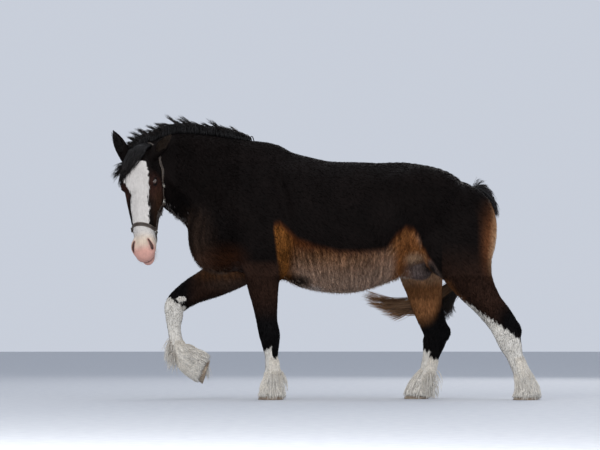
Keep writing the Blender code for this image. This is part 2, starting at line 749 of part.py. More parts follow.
def hoof_region(middle, way, toe):
    """The space below a coronet, from which flesh and hair are cut."""
    up = -unit(way)
    toe = unit(np.array(toe) - np.dot(toe, up) * up)
    place = np.array(middle) + up * (HOOF_HIGH + GAP) - toe * HOOF_BACK
    way = -unit(up - HOOF_SLOPE * toe)
    return box(place + way * 0.15, way, np.cross(up, toe), (0.30, 0.36, 0.36))


def build_flesh():
    """The body in one skin, parted with thin cuts, and the finer head."""
    points, faces = surface(FLESH, (-1.40, -0.75, -0.05), (1.75, 0.55, 1.95), BODY_CELL)
    torso = add_object("torso", points, faces)
    thin(torso, BODY_FACES)
    made = {}
    for name, (place, way, side, reach) in PARTS.items():
        made[name] = part_off(torso, name, place, way, side, reach)
    for name, (place, way) in LOWER_LEGS.items():
        made[name + "_lower"] = part_off(
            made[name], name + "_lower", place, way, (0, 1, 0), (0.60, 0.25, 0.30)
        )
        made[name].name = name + "_upper"
    for name, (middle, way, toe) in HOOVES.items():
        leg = made[name.replace("fore_", "foreleg_").replace("hind_", "hindleg_") + "_lower"]
        combine(leg, [hoof_region(middle, way, toe)], "DIFFERENCE")
        keep_largest(leg)
        fuse_feather(leg, name, hoof(name, middle, way, toe))
    bpy.data.objects.remove(made["head"])
    return torso, made


# The tail's middle line from the dock, round the far quarter: x, y, z, then its reach out, in and across.
TAIL_PATH = [
    (1.140, 0.000, 1.425, 0.028, 0.028, 0.032),
    (1.225, 0.006, 1.420, 0.030, 0.028, 0.034),
    (1.300, 0.028, 1.345, 0.034, 0.028, 0.040),
    (1.302, 0.100, 1.235, 0.032, 0.028, 0.046),
    (1.272, 0.172, 1.120, 0.030, 0.028, 0.050),
    (1.232, 0.238, 1.000, 0.028, 0.028, 0.052),
    (1.175, 0.298, 0.880, 0.026, 0.026, 0.052),
    (1.065, 0.340, 0.785, 0.024, 0.024, 0.050),
    (0.940, 0.356, 0.712, 0.020, 0.020, 0.048),
    (0.800, 0.358, 0.675, 0.015, 0.015, 0.040),
    (0.670, 0.354, 0.662, 0.008, 0.008, 0.028),
    (0.540, 0.350, 0.672, 0.004, 0.004, 0.012),
]
TAIL_LOCKS = (6, 12)              # above and below the cut
TAIL_TUFT = (                     # tips of the tuft over the dock
    (1.235, 0.010, 1.515),
    (1.262, -0.012, 1.500),
    (1.290, 0.004, 1.462),
    (1.330, 0.012, 1.400),
    (1.345, 0.020, 1.300),
)
TAIL_CUT = ((1.258, 0.228, 1.000), (-0.50, 0.45, -0.75))

# The mane's core stands along the crest from the withers to the poll: x, y, z, then up, down and sideways.
MANE_PATH = [
    (-0.36, 0.000, 1.745, 0.020, 0.05, 0.016),
    (-0.48, 0.000, 1.765, 0.045, 0.06, 0.024),
    (-0.64, -0.020, 1.785, 0.055, 0.07, 0.028),
    (-0.78, -0.060, 1.790, 0.055, 0.07, 0.030),
    (-0.90, -0.110, 1.775, 0.045, 0.07, 0.030),
    (-1.00, -0.160, 1.730, 0.035, 0.06, 0.028),
]
MANE_LOCKS = 15
MANE_WISPS = 10
FORELOCK_LOCKS = 7

# The white feather of each lower leg, from mid cannon down over the hoof: its core, as a leg's path.
FEATHER_PATHS = {
    "fore_left": [
        (-0.193, -0.131, 0.290, 0.026, 0.030, 0.024),
        (-0.190, -0.122, 0.200, 0.048, 0.056, 0.050),
        (-0.195, -0.116, 0.115, 0.062, 0.074, 0.068),
        (-0.193, -0.114, 0.035, 0.080, 0.088, 0.086),
    ],
    "fore_right": [
        (-0.850, 0.180, 0.400, 0.028, 0.030, 0.026),
        (-0.830, 0.180, 0.330, 0.058, 0.076, 0.056),
        (-0.765, 0.180, 0.258, 0.080, 0.096, 0.078),
        (-0.680, 0.180, 0.208, 0.090, 0.100, 0.092),
    ],
    "hind_left": [
        (1.450, -0.180, 0.290, 0.028, 0.032, 0.026),
        (1.478, -0.175, 0.200, 0.050, 0.062, 0.054),
        (1.502, -0.170, 0.115, 0.064, 0.082, 0.072),
        (1.519, -0.168, 0.035, 0.082, 0.094, 0.088),
    ],
    "hind_right": [
        (0.900, 0.162, 0.290, 0.028, 0.032, 0.026),
        (0.868, 0.160, 0.200, 0.050, 0.062, 0.054),
        (0.834, 0.160, 0.115, 0.066, 0.080, 0.072),
        (0.804, 0.160, 0.035, 0.082, 0.092, 0.088),
    ],
}
# Rings of feather locks: where a ring's roots and tips lie along that path, its first and last angle from
# straight back, and how many locks it holds.
FEATHER_RINGS = ((0.3, 2.1, 60, 3), (1.5, 2.95, 150, 6))


def settle(points, lifts):
    """Points moved along the slope of the flesh until each lies its own height over the skin."""
    points = np.array(points, float)
    lifts = np.array(lifts, float)
    for _ in range(4):
        here = distance(FLESH, points)
        slope = np.empty_like(points)
        for axis in range(3):
            step = np.zeros(3)
            step[axis] = 0.004
            slope[:, axis] = distance(FLESH, points + step) - distance(FLESH, points - step)
        points += unit(slope) * np.clip(lifts - here, -0.05, 0.05)[:, None]
    return points


def lock(path, face, wide, thick, slot, steps=2):
    """A flat lock of hair along a path: pointed, widest near its middle, with a ridge along its face."""
    path = smooth_path(path, steps)
    along = unit(np.gradient(path, axis=0))
    across = unit(np.cross(along, np.array(face, float)))
    out = np.cross(across, along)
    points, faces = [], []
    last = len(path) - 1
    for i in range(last):
        t = i / last
        w = wide * (0.55 + 1.1 * t - 1.45 * t**2)
        h = thick * (1 - 0.75 * t)
        points += [
            path[i] - w * across[i] - 0.35 * h * out[i],
            path[i] + w * across[i] - 0.35 * h * out[i],
            path[i] + 0.15 * w * across[i] + 0.65 * h * out[i],
        ]
    points.append(path[last])
    for i in range(last - 1):
        for j in range(3):
            a, b = 3 * i + j, 3 * i + (j + 1) % 3
            faces.append((a, b, b + 3, a + 3))
    faces.append((2, 1, 0))
    for j in range(3):
        faces.append((3 * (last - 1) + j, 3 * (last - 1) + (j + 1) % 3, 3 * last))
    return add_object("lock", points, faces, slot)


def fuse(made, locks, clear=()):
    """Joins locks to each other, cuts them clear of others, joins them to their node and keeps one body."""
    hair = locks[0]
    combine(hair, locks[1:], "UNION", "MANIFOLD")
    if clear:
        combine(hair, list(clear), "DIFFERENCE", "MANIFOLD")
    combine(made, [hair], "UNION", "MANIFOLD")
    keep_largest(made)


def fuse_mane(neck, others):
    """The mane over the crest, falling to the right, with wisps that stand up and lean forwards."""
    shuffle = random.Random(11)
    rows = smooth_path(MANE_PATH, 12)
    points, faces = surface(
        [(1, Limb(MANE_PATH, up=(0, 0, 1)))], (-1.10, -0.28, 1.60), (-0.25, 0.10, 1.92), 0.012
    )
    core = add_object("core", points, faces, "hair_black")
    thin(core, 120)
    locks = [core]
    for i in range(MANE_LOCKS):
        row = rows[int((0.02 + 0.90 * i / (MANE_LOCKS - 1)) * (len(rows) - 1))]
        crest = row[:3] + (0, 0, 0.55 * row[3])
        long = shuffle.uniform(0.8, 1.15)
        lean = shuffle.uniform(-0.030, 0.005)
        path = [
            crest + (0.0, 0.0, -0.045),
            crest + (0.3 * lean, 0.030, 0.030 * long),
            crest + (0.8 * lean, 0.085, 0.005),
            crest + (1.4 * lean, 0.125, -0.090 * long),
            crest + (1.6 * lean, 0.140, -0.190 * long),
        ]
        path[2:] = list(settle(path[2:], [0.026, 0.022, 0.018]))
        locks.append(lock(path, (0.1, 1, 0.55), 0.040, 0.018, "hair_black", 1))
    for i in range(MANE_WISPS):
        row = rows[int((0.10 + 0.70 * i / (MANE_WISPS - 1)) * (len(rows) - 1))]
        crest = row[:3] + (0, 0, 0.6 * row[3])
        tall = shuffle.uniform(0.75, 1.2)
        path = [
            crest + (0.030, 0.0, -0.040),
            crest + (0.010, 0.004, 0.030 * tall),
            crest + (-0.030, 0.010, 0.062 * tall),
            crest + (-0.095, 0.016, 0.080 * tall),
        ]
        locks.append(lock(path, (0, 1, 0.1), 0.028, 0.020, "hair_black", 1))
    fuse(neck, locks, [inflated(other, GAP) for other in others])


def fuse_forelock(skull, others):
    """The forelock falls from the poll over the right of the forehead."""
    shuffle = random.Random(5)
    locks = []
    for i in range(FORELOCK_LOCKS):
        t = i / (FORELOCK_LOCKS - 1)
        left = 0.045 - 0.085 * t
        long = shuffle.uniform(0.85, 1.15)
        path = [
            head(-0.015, -0.005, left),
            head(0.030, 0.060, left - 0.012),
            head(0.085 * long, 0.080, left * 0.8 - 0.040),
            head(0.150 * long, 0.080, left * 0.7 - 0.066),
            head(0.205 * long, 0.075, left * 0.6 - 0.086 - 0.012 * t),
        ]
        path = list(settle(path, [-0.022, 0.018, 0.018, 0.018, 0.016 + 0.02 * shuffle.random()]))
        locks.append(lock(path, OUT - 0.3 * LEFT, 0.020, 0.014, "hair_black", 1))
    fuse(skull, locks, [inflated(other, GAP) for other in others])


def fuse_feather(leg, name, hoof_object):
    """A lower leg's feather: a core with rings of locks, clear of the hoof and of the ground."""
    shuffle = random.Random(name)
    path = FEATHER_PATHS[name]
    low = np.min(path, axis=0)[:3] - 0.16
    high = np.max(path, axis=0)[:3] + 0.16
    limb = Limb(path, side=(0, 1, 0))
    points, faces = surface([(1, limb)], low, high, 0.011)
    core = add_object("core", points, faces, "coat_white")
    thin(core, 120)
    locks = [core]
    for start, end, reach, count in FEATHER_RINGS:
        for i in range(count):
            angle = math.radians(180 + reach * (2 * i / (count - 1) - 1) + shuffle.uniform(-6, 6))
            turn = math.radians(shuffle.uniform(-14, 14))
            places = []
            for t, out in ((0, 0.72), (0.35, 1.04), (0.70, 1.07), (1.0, 1.06)):
                s = (start + (end - start) * t + 0.04 * shuffle.random()) * SPAN_STEPS
                k = min(int(s), len(limb.at) - 2)
                f = s - k
                middle = limb.at[k] * (1 - f) + limb.at[k + 1] * f
                tall, back, across = limb.reach[k] * (1 - f) + limb.reach[k + 1] * f
                a = angle + turn * t
                ahead = math.cos(a) * (tall if math.cos(a) > 0 else back)
                places.append(
                    middle + out * (ahead * limb.up[k] + math.sin(a) * across * limb.side[k])
                )
            k = int(0.5 * (start + end) * SPAN_STEPS)
            face = math.cos(angle) * limb.up[k] + math.sin(angle) * limb.side[k]
            locks.append(lock(places, face, 0.040, 0.018, "coat_white", 1))
    middle, way, toe = HOOVES[name]
    way = unit(way)
    floor = box(np.array(middle) + way * (0.10 - 0.006), way, toe, (0.20, 0.5, 0.5))
    fuse(leg, locks, [inflated(hoof_object, 0.0006), floor])
    leg.data.materials.clear()
    leg.data.materials.append(material("coat_white"))


# Halter: leather straps lying on the head, each a strip of the layer over the skin. Places are down and out.
STRAP_WIDE, STRAP_THICK = 0.024, 0.0045
STRAP_OFF = 0.001                # between strap and skin
RING_AT = (0.548, -0.045)        # where the cheek strap meets the noseband
RING_DROP = 0.011                # the noseband sits this much lower on the left than on the middle
TOP_RING_AT = (0.335, -0.118)    # where the cheek, crown and throat straps meet
BUCKLE_AT = (0.235, -0.101)      # on the left of the crown strap
RING_RADIUS, RING_WIRE = 0.017, 0.003
STRAPS = {
    "noseband": (RING_AT, (0.511, 0.115)),
    "chin": (RING_AT, (0.630, -0.163)),
    "crown": (TOP_RING_AT, (-0.120, -0.037)),
    "throat": (TOP_RING_AT, (0.460, -0.235)),
}


def inflated(source, by, name="layer"):
    """A copy whose surface lies a little outside the first one's."""
    made = source.copy()
    made.data = source.data.copy()
    made.name = name
    bpy.context.collection.objects.link(made)
    work = bmesh.new()
    work.from_mesh(made.data)
    bmesh.ops.recalc_face_normals(work, faces=work.faces)
    work.normal_update()
    moved = [(v, v.co + v.normal * by * v.calc_shell_factor()) for v in work.verts]
    for vert, place in moved:
        vert.co = place
    work.to_mesh(made.data)
    work.free()
    return made


def cut_clear(made, others, gap=GAP):
    """Cuts an object clear of its neighbours, with a gap."""
    combine(made, [inflated(other, gap) for other in others], "DIFFERENCE")
    keep_largest(made)


def strip(start, end, roll=0.0):
    """The slab for a strap, from one place on the side of the head to another, through the whole head."""
    a, b = head(*start), head(*end)
    span = LEFT + roll * DOWN
    up = np.cross(b - a, span)
    return box((a + b) / 2, b - a, up, (np.linalg.norm(b - a), 0.6, STRAP_WIDE))


def ring_place(place, side, lift):
    """Where a ring's middle lies over the skin, and the way straight out of the skin there."""
    drop = RING_DROP * side if place is RING_AT else 0.0
    at = head(place[0] + drop, place[1], side * 0.10)
    over, under = settle([at, at], [lift, lift - 0.02])
    return over, unit(over - under)


def ring(name, middle, axis, along, wide, long, around, across=5):
    """A closed wire, round or, with four corners, a frame."""
    along = unit(along - np.dot(along, axis) * axis)
    side = np.cross(axis, along)
    points, faces = [], []
    for i in range(around):
        turn = 2 * math.pi * (i + 0.5) / around
        out = math.cos(turn) * wide * side + math.sin(turn) * long * along
        for j in range(across):
            tilt = 2 * math.pi * j / across
            points.append(middle + out + RING_WIRE * (math.cos(tilt) * unit(out) + math.sin(tilt) * axis))
    for i in range(around):
        k = (i + 1) % around
        for j in range(across):
            m = (j + 1) % across
            a, b = i * across, k * across
            faces.append((a + j, b + j, b + m, a + m))
    return add_object(name, points, faces, "halter_metal")


def build_halter(skin):
    """Straps, rings and a buckle. Each strap ends just short of the rings that it is sewn round."""
    outer = inflated(skin, STRAP_THICK + STRAP_OFF)
    place, way, side, reach = PARTS["head"]
    combine(outer, [region(np.array(place) + unit(way) * 0.001, way, side, reach)], "INTERSECT")
    inner = inflated(skin, STRAP_OFF)
    rings = []
    for name, at in (("ring", RING_AT), ("square", TOP_RING_AT)):
        for word, s in (("left", 1), ("right", -1)):
            middle, axis = ring_place(at, s, RING_WIRE + 0.0045)
            ring(f"halter_{name}_{word}", middle, axis, DOWN, RING_RADIUS, RING_RADIUS, 12)
            rings.append((middle, axis))

    straps = []

    def strap(name, slab):
        made = outer.copy()
        made.data = outer.data.copy()
        made.name = "halter_" + name
        bpy.context.collection.objects.link(made)
        combine(made, [slab], "INTERSECT")
        hollow = inner.copy()
        hollow.data = inner.data.copy()
        bpy.context.collection.objects.link(hollow)
        less = [inflated(other, GAP) for other in straps]
        for at, axis in rings:
            less.append(sphere("cutter", at, RING_RADIUS + RING_WIRE + 0.001, "coat_dark", axis=axis))
        combine(made, [hollow, *less], "DIFFERENCE")
        keep_largest(made)
        flatten(made)
        made.data.materials.clear()
        made.data.materials.append(material("halter_leather"))
        straps.append(made)

    for name, side in (("left", 1), ("right", -1)):
        start = (RING_AT[0] + RING_DROP * side, RING_AT[1])
        a, b = head(*start), head(*TOP_RING_AT)
        middle = (a + b) / 2 + side * 0.14 * LEFT
        slab = box(middle, b - a, np.cross(b - a, LEFT), (np.linalg.norm(b - a), 0.24, STRAP_WIDE))
        strap("cheek_" + name, slab)
    for name, (start, end) in STRAPS.items():
        strap(name, strip(start, end, 0.16 if name in ("noseband", "chin") else 0.0))
    middle, axis = ring_place(BUCKLE_AT, 1, STRAP_THICK + RING_WIRE + 0.0035)
    along = head(*TOP_RING_AT) - head(*BUCKLE_AT)
    ring("halter_buckle", middle, axis, along, 0.023, 0.020, 4)
    bpy.data.objects.remove(outer)
    bpy.data.objects.remove(inner)
    return straps


def build_head(neck, torso):
    points, faces = surface(FLESH, (-1.34, -0.72, 0.84), (-0.78, 0.06, 1.84), HEAD_CELL)
    skull = add_object("head", points, faces)
    thin(skull, HEAD_FACES)
    straps = build_halter(skull)
    place, way, side, reach = PARTS["head"]
    combine(skull, [region(place, way, side, reach)], "INTERSECT")
    sockets = []
    for name, side in (("left", 1), ("right", -1)):
        middle, gaze, _, _ = eye_frame(side)
        sphere("eye_" + name, middle, EYE_RADIUS, "eye_dark", axis=gaze)
        sockets.append(sphere("socket", middle, EYE_RADIUS + 2 * GAP, "coat_dark", axis=gaze))
    combine(skull, sockets, "DIFFERENCE")
    keep_largest(skull)
    ears = []
    for name, (base, tip, opening) in EARS.items():
        low = np.minimum(base, tip) - 0.06
        high = np.maximum(base, tip) + 0.06
        points, faces = surface(ear_shapes(base, tip, opening), low, high, EAR_CELL)
        ear = add_object("ear_" + name, points, faces)
        thin(ear, EAR_FACES)
        cut_clear(ear, [skull, neck, *straps])
        ears.append(ear)
    fuse_mane(neck, [torso, skull, *ears, *straps])
    fuse_forelock(skull, [neck, *ears, *straps])
    return skull


def build_tail(torso, leg):
    """The tail's core, with locks at the dock and a loose brush past the far hind leg."""
    shuffle = random.Random(3)
    limb = Limb(TAIL_PATH, up=(0.6, 0.5, 0.6))
    points, faces = surface([(1, limb)], (0.40, -0.15, 0.50), (1.50, 0.50, 1.55), 0.012)
    tail = add_object("tail_upper", points, faces, "hair_black")
    thin(tail, 300)
    cut_clear(tail, [torso])
    place, way = TAIL_CUT
    lower = part_off(tail, "tail_lower", place, way, (0, 1, 0), (1.2, 0.6, 0.6))
    last = len(limb.at) - 1

    def strand(start, end, across, out, wide, spread=1.5):
        places = []
        for t in (0, 0.3, 0.65, 1.0):
            s = min(start + (end - start) * t, last - 0.001)
            k = int(s)
            f = s - k
            middle = limb.at[k] * (1 - f) + limb.at[k + 1] * f
            reach = limb.reach[k] * (1 - f) + limb.reach[k + 1] * f
            wider = 0.75 + (spread - 0.75) * t
            raised = (0.5, 1.0, 1.2, 1.25)[round(t / 0.33)]
            places.append(
                middle + across * wider * reach[2] * limb.side[k] + out * raised * reach[0] * limb.up[k]
            )
        face = limb.up[int((start + end) / 2)] * (1 if out >= 0 else -1)
        return lock(places, face, wide, 0.014, "hair_black", 1)

    upper_locks = []
    for i in range(TAIL_LOCKS[0]):
        start = SPAN_STEPS * shuffle.uniform(0.9, 2.6)
        end = start + SPAN_STEPS * shuffle.uniform(1.2, 1.9)
        upper_locks.append(strand(start, min(end, 5.1 * SPAN_STEPS), shuffle.uniform(-1, 1), 1.0, 0.020))
    for tip in TAIL_TUFT:
        root = np.array((1.215, 0.005, 1.430))
        tip = np.array(tip)
        middle = root + 0.55 * (tip - root) + (0.012, 0, 0.014)
        upper_locks.append(lock([root, middle, tip], (0, -1, 0.2), 0.014, 0.012, "hair_black", 2))
    fuse(tail, upper_locks, [inflated(torso, GAP), region(place, way, (0, 1, 0), (1.2, 0.6, 0.6), GAP)])
    lower_locks = []
    for i in range(TAIL_LOCKS[1]):
        t = i / (TAIL_LOCKS[1] - 1)
        start = SPAN_STEPS * (5.4 + 3.3 * t + shuffle.uniform(-0.2, 0.2))
        end = min(start + SPAN_STEPS * shuffle.uniform(2.4, 3.2), last)
        out = 1.0 if i % 3 else -1.0
        lower_locks.append(strand(start, end, shuffle.uniform(-1.0, 1.0), out, 0.022, 1.9))
    before = region(place, -unit(way), (0, 1, 0), (1.2, 0.6, 0.6))
    fuse(lower, lower_locks, [before, inflated(leg, GAP), inflated(torso, GAP)])


def set_origin():
    """Moves everything so that the origin is on the ground under the middle of the box."""
    corners = []
    for made in bpy.data.objects:
        corners += [made.matrix_world @ v.co for v in made.data.vertices]
    low = np.min(corners, axis=0)
    high = np.max(corners, axis=0)
    move = Vector((-(low[0] + high[0]) / 2, -(low[1] + high[1]) / 2, 0.0))
    for made in bpy.data.objects:
        for vert in made.data.vertices:
            vert.co += move


torso, limbs = build_flesh()
build_head(limbs["neck"], torso)
build_tail(torso, limbs["hindleg_right"])
set_origin()
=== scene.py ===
"""The look of a life-size shire horse at a walk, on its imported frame. Metres, +Z up.

The horse faces -X and its left side faces -Y. One smooth field of rounded shapes gives the skin and carries
every tuft and lock. The shapes stand where the body was first laid out, and MOVE takes them to the frame.
"""

import math

import bmesh
import bpy
import numpy as np
import openvdb
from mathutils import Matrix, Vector


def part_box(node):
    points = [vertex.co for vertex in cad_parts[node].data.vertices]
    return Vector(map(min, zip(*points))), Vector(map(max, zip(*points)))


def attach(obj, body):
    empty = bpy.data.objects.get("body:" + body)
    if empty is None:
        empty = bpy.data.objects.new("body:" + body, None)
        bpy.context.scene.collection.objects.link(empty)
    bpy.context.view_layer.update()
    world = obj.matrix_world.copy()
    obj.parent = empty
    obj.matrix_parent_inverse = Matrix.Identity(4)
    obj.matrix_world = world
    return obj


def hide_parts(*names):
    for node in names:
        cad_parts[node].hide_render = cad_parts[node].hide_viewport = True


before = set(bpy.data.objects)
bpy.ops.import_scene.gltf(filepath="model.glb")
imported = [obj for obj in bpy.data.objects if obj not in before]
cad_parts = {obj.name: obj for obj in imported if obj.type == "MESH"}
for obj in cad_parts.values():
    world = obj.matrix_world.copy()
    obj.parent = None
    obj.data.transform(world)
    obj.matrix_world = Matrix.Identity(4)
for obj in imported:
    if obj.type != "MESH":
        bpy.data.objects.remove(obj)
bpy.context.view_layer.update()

# Driving sizes.
POLL = (-1.074, -0.272, 1.672)  # top of the head, between the ears
CHIN = (-1.030, -0.520, 0.925)  # where the long axis of the head ends, past the lips
FACING = (-0.30, -0.954, 0.0)   # the way the face looks, seen from above
HEAD_LONG = 1.035               # length of the head against a light horse's of this size
SIDES = {"left": -1, "right": 1}
COAT_DEPTH, FACE_DEPTH = 0.0040, 0.0012   # how far the skin lies inside the body, and inside the head

# Meshing.
BODY_CELL = 0.0088
HEAD_CELL = 0.0037
SPAN_STEPS = 6                  # samples of a limb's path between two stations
FAR = 1.0                       # distance written where no shape reaches
MOST_STEP = 0.05                # the most that a point moves at a time on its way to the skin
SHARE = 1.0  # of the tufts and locks
CUT_NEAR = 2e-4                 # a vertex this near to a cut lies on it
MERGE = 1e-5                    # vertices nearer than this are one
ROOT_IN = 0.0012                # how far a tuft's root lies under the skin
BODY_BOX = ((-1.08, -0.46, -0.02), (1.72, 0.46, 1.84))
HEAD_BOX = ((-1.36, -0.72, 0.84), (-0.66, 0.20, 1.88))
DOCK_BOX = ((1.05, -0.10, 0.90), (1.42, 0.36, 1.50))

# Seeds of the random draws. Each region of the coat and each leg's feather counts on from these.
SEEDS = {"coat": 20, "mane": 11, "forelock": 5, "tail": 3, "feather": 40, "fine": 77}


def unit(v):
    v = np.asarray(v, float)
    return v / np.linalg.norm(v, axis=-1, keepdims=True)


def curve(rows, where):
    """Rows of numbers read at fractional places, on a smooth curve through all of them."""
    slope = np.gradient(rows, axis=-2)
    low = np.minimum(where.astype(int), rows.shape[-2] - 2)
    t = (where - low)[:, None]
    a, b = rows[..., low, :], rows[..., low + 1, :]
    c, d = slope[..., low, :], slope[..., low + 1, :]
    return (
        (2 * t**3 - 3 * t**2 + 1) * a + (t**3 - 2 * t**2 + t) * c
        + (3 * t**2 - 2 * t**3) * b + (t**3 - t**2) * d
    )


def smooth_path(rows, steps=SPAN_STEPS):
    """A smooth curve through all the rows, with a few samples to each span."""
    return curve(np.array(rows, float), np.arange((len(rows) - 1) * steps + 1) / steps)


def bend(points, steps):
    """Many short rows of control points made into smooth paths with more stations."""
    return curve(points, np.linspace(0, points.shape[1] - 1, steps))


def along_rows(rows, where):
    """Rows of numbers read at fractional places."""
    low = np.clip(where.astype(int), 0, len(rows) - 2)
    t = (where - low)[:, None]
    return rows[low] * (1 - t) + rows[low + 1] * t


class Limb:
    """A rounded mass along a path. A station is x, y, z and its reach up, down and sideways, or one reach."""

    def __init__(self, stations, up=None, side=None, blend=0.05):
        path = smooth_path([(*row, row[3], row[3]) if len(row) == 4 else row for row in stations])
        self.at = path[:, :3]
        self.reach = np.maximum(path[:, 3:6], 0.002)
        self.along = unit(np.gradient(self.at, axis=0))
        if side is None:
            self.side = unit(np.cross(self.along, up))
        else:
            self.side = np.tile(np.array(side, float), (len(path), 1))
        self.up = unit(np.cross(self.side, self.along))
        self.blend = blend
        most = self.reach.max()
        self.low = self.at.min(0) - most
        self.high = self.at.max(0) + most

    def nearest(self, p):
        """How far along the path each place lies, in samples."""
        best = np.full(len(p), np.inf)
        place = np.zeros(len(p))
        for i in range(len(self.at) - 1):
            run = self.at[i + 1] - self.at[i]
            t = np.clip((p - self.at[i]) @ run / (run @ run), 0, 1)
            gap = ((p - self.at[i] - t[:, None] * run) ** 2).sum(1)
            near = gap < best
            best[near] = gap[near]
            place[near] = i + t[near]
        return place

    def read(self, where):
        """The middle, the reaches, up and the side at fractional places along the path."""
        return [along_rows(rows, where) for rows in (self.at, self.reach, self.up, self.side)]

    def distance(self, p):
        place = self.nearest(p)
        middle, reach, up, side = self.read(place)
        q = p - middle
        u = (q * up).sum(1)
        v = (q * side).sum(1)
        w = (q * along_rows(self.along, place)).sum(1)
        tall = np.where(u > 0, reach[:, 0], reach[:, 1])
        cap = np.minimum(tall, reach[:, 2])
        r = np.sqrt((u / tall) ** 2 + (v / reach[:, 2]) ** 2 + (w / cap) ** 2)
        return np.linalg.norm(q, axis=1) * (1 - 1 / np.maximum(r, 1e-3))


class Ball:
    """An ellipsoid. The rows of turn are the axes that its three reaches go along."""

    def __init__(self, at, reach, turn=None, blend=0.05):
        self.at = np.array(at, float)
        self.reach = np.array(reach, float)
        self.turn = np.eye(3) if turn is None else np.array(turn, float)
        self.blend = blend
        extent = np.sqrt(((self.turn * self.reach[:, None]) ** 2).sum(0))
        self.low = self.at - extent
        self.high = self.at + extent

    def distance(self, p):
        q = (p - self.at) @ self.turn.T
        k = np.linalg.norm(q / self.reach, axis=1)
        return k * (k - 1) / np.maximum(np.linalg.norm(q / self.reach**2, axis=1), 1e-6)


def distance(shapes, p):
    """How far each point lies outside the flesh. A shape is added or, with sign -1, cut away."""
    d = np.full(len(p), FAR)
    for sign, shape in shapes:
        k = shape.blend
        near = ((p > shape.low - 2 * k) & (p < shape.high + 2 * k)).all(1)
        if not near.any():
            continue
        a = sign * d[near]
        b = shape.distance(p[near])
        h = np.clip(0.5 + 0.5 * (b - a) / k, 0, 1)
        d[near] = sign * (b * (1 - h) + a * h - k * h * (1 - h))
    return d


def surface(field, box, cell, coarse=4):
    """Points and faces of a field's zero surface in a box, from a grid that is fine only near it."""
    low, high = np.array(box, float)
    blocks = np.ceil((high - low) / (cell * coarse)).astype(int)
    corner = np.indices(blocks).reshape(3, -1).T
    rough = field(low + (corner + 0.5) * cell * coarse)
    near = np.abs(rough) < 1.7 * cell * coarse
    grid = rough.reshape(blocks).repeat(coarse, 0).repeat(coarse, 1).repeat(coarse, 2)
    step = np.indices((coarse,) * 3).reshape(3, -1).T
    cells = (corner[near, None] * coarse + step).reshape(-1, 3)
    grid[tuple(cells.T)] = field(low + (cells + 0.5) * cell)
    volume = openvdb.FloatGrid(FAR)
    volume.copyFromArray(np.ascontiguousarray(grid, np.float32))
    points, triangles, quads = volume.convertToPolygons(isovalue=0.0, adaptivity=0.0)
    faces = [tuple(int(i) for i in face) for face in list(triangles) + list(quads)]
    return low + (points.astype(float) + 0.5) * cell, faces


# The head's own frame: down its length from the poll, out through the face, and to its left.
DOWN = unit(np.subtract(CHIN, POLL))
OUT = unit(np.array(FACING) - np.dot(FACING, DOWN) * DOWN)
LEFT = np.cross(OUT, DOWN)


def head(down, out, left=0.0):
    """Places on the head, measured from the poll along the head's own frame."""
    down, out, left = (rows[..., None] for rows in np.broadcast_arrays(down, out, left))
    return np.array(POLL) + HEAD_LONG * down * DOWN + out * OUT + left * LEFT


def head_place(p):
    """How far down the head, out of the face and to the left each point lies."""
    q = p - np.array(POLL)
    return q @ DOWN / HEAD_LONG, q @ OUT, q @ LEFT


def turned(degrees):
    """Axes turned about Y, for a ball that leans towards the tail."""
    c, s = math.cos(math.radians(degrees)), math.sin(math.radians(degrees))
    return [[c, 0, -s], [0, 1, 0], [s, 0, c]]


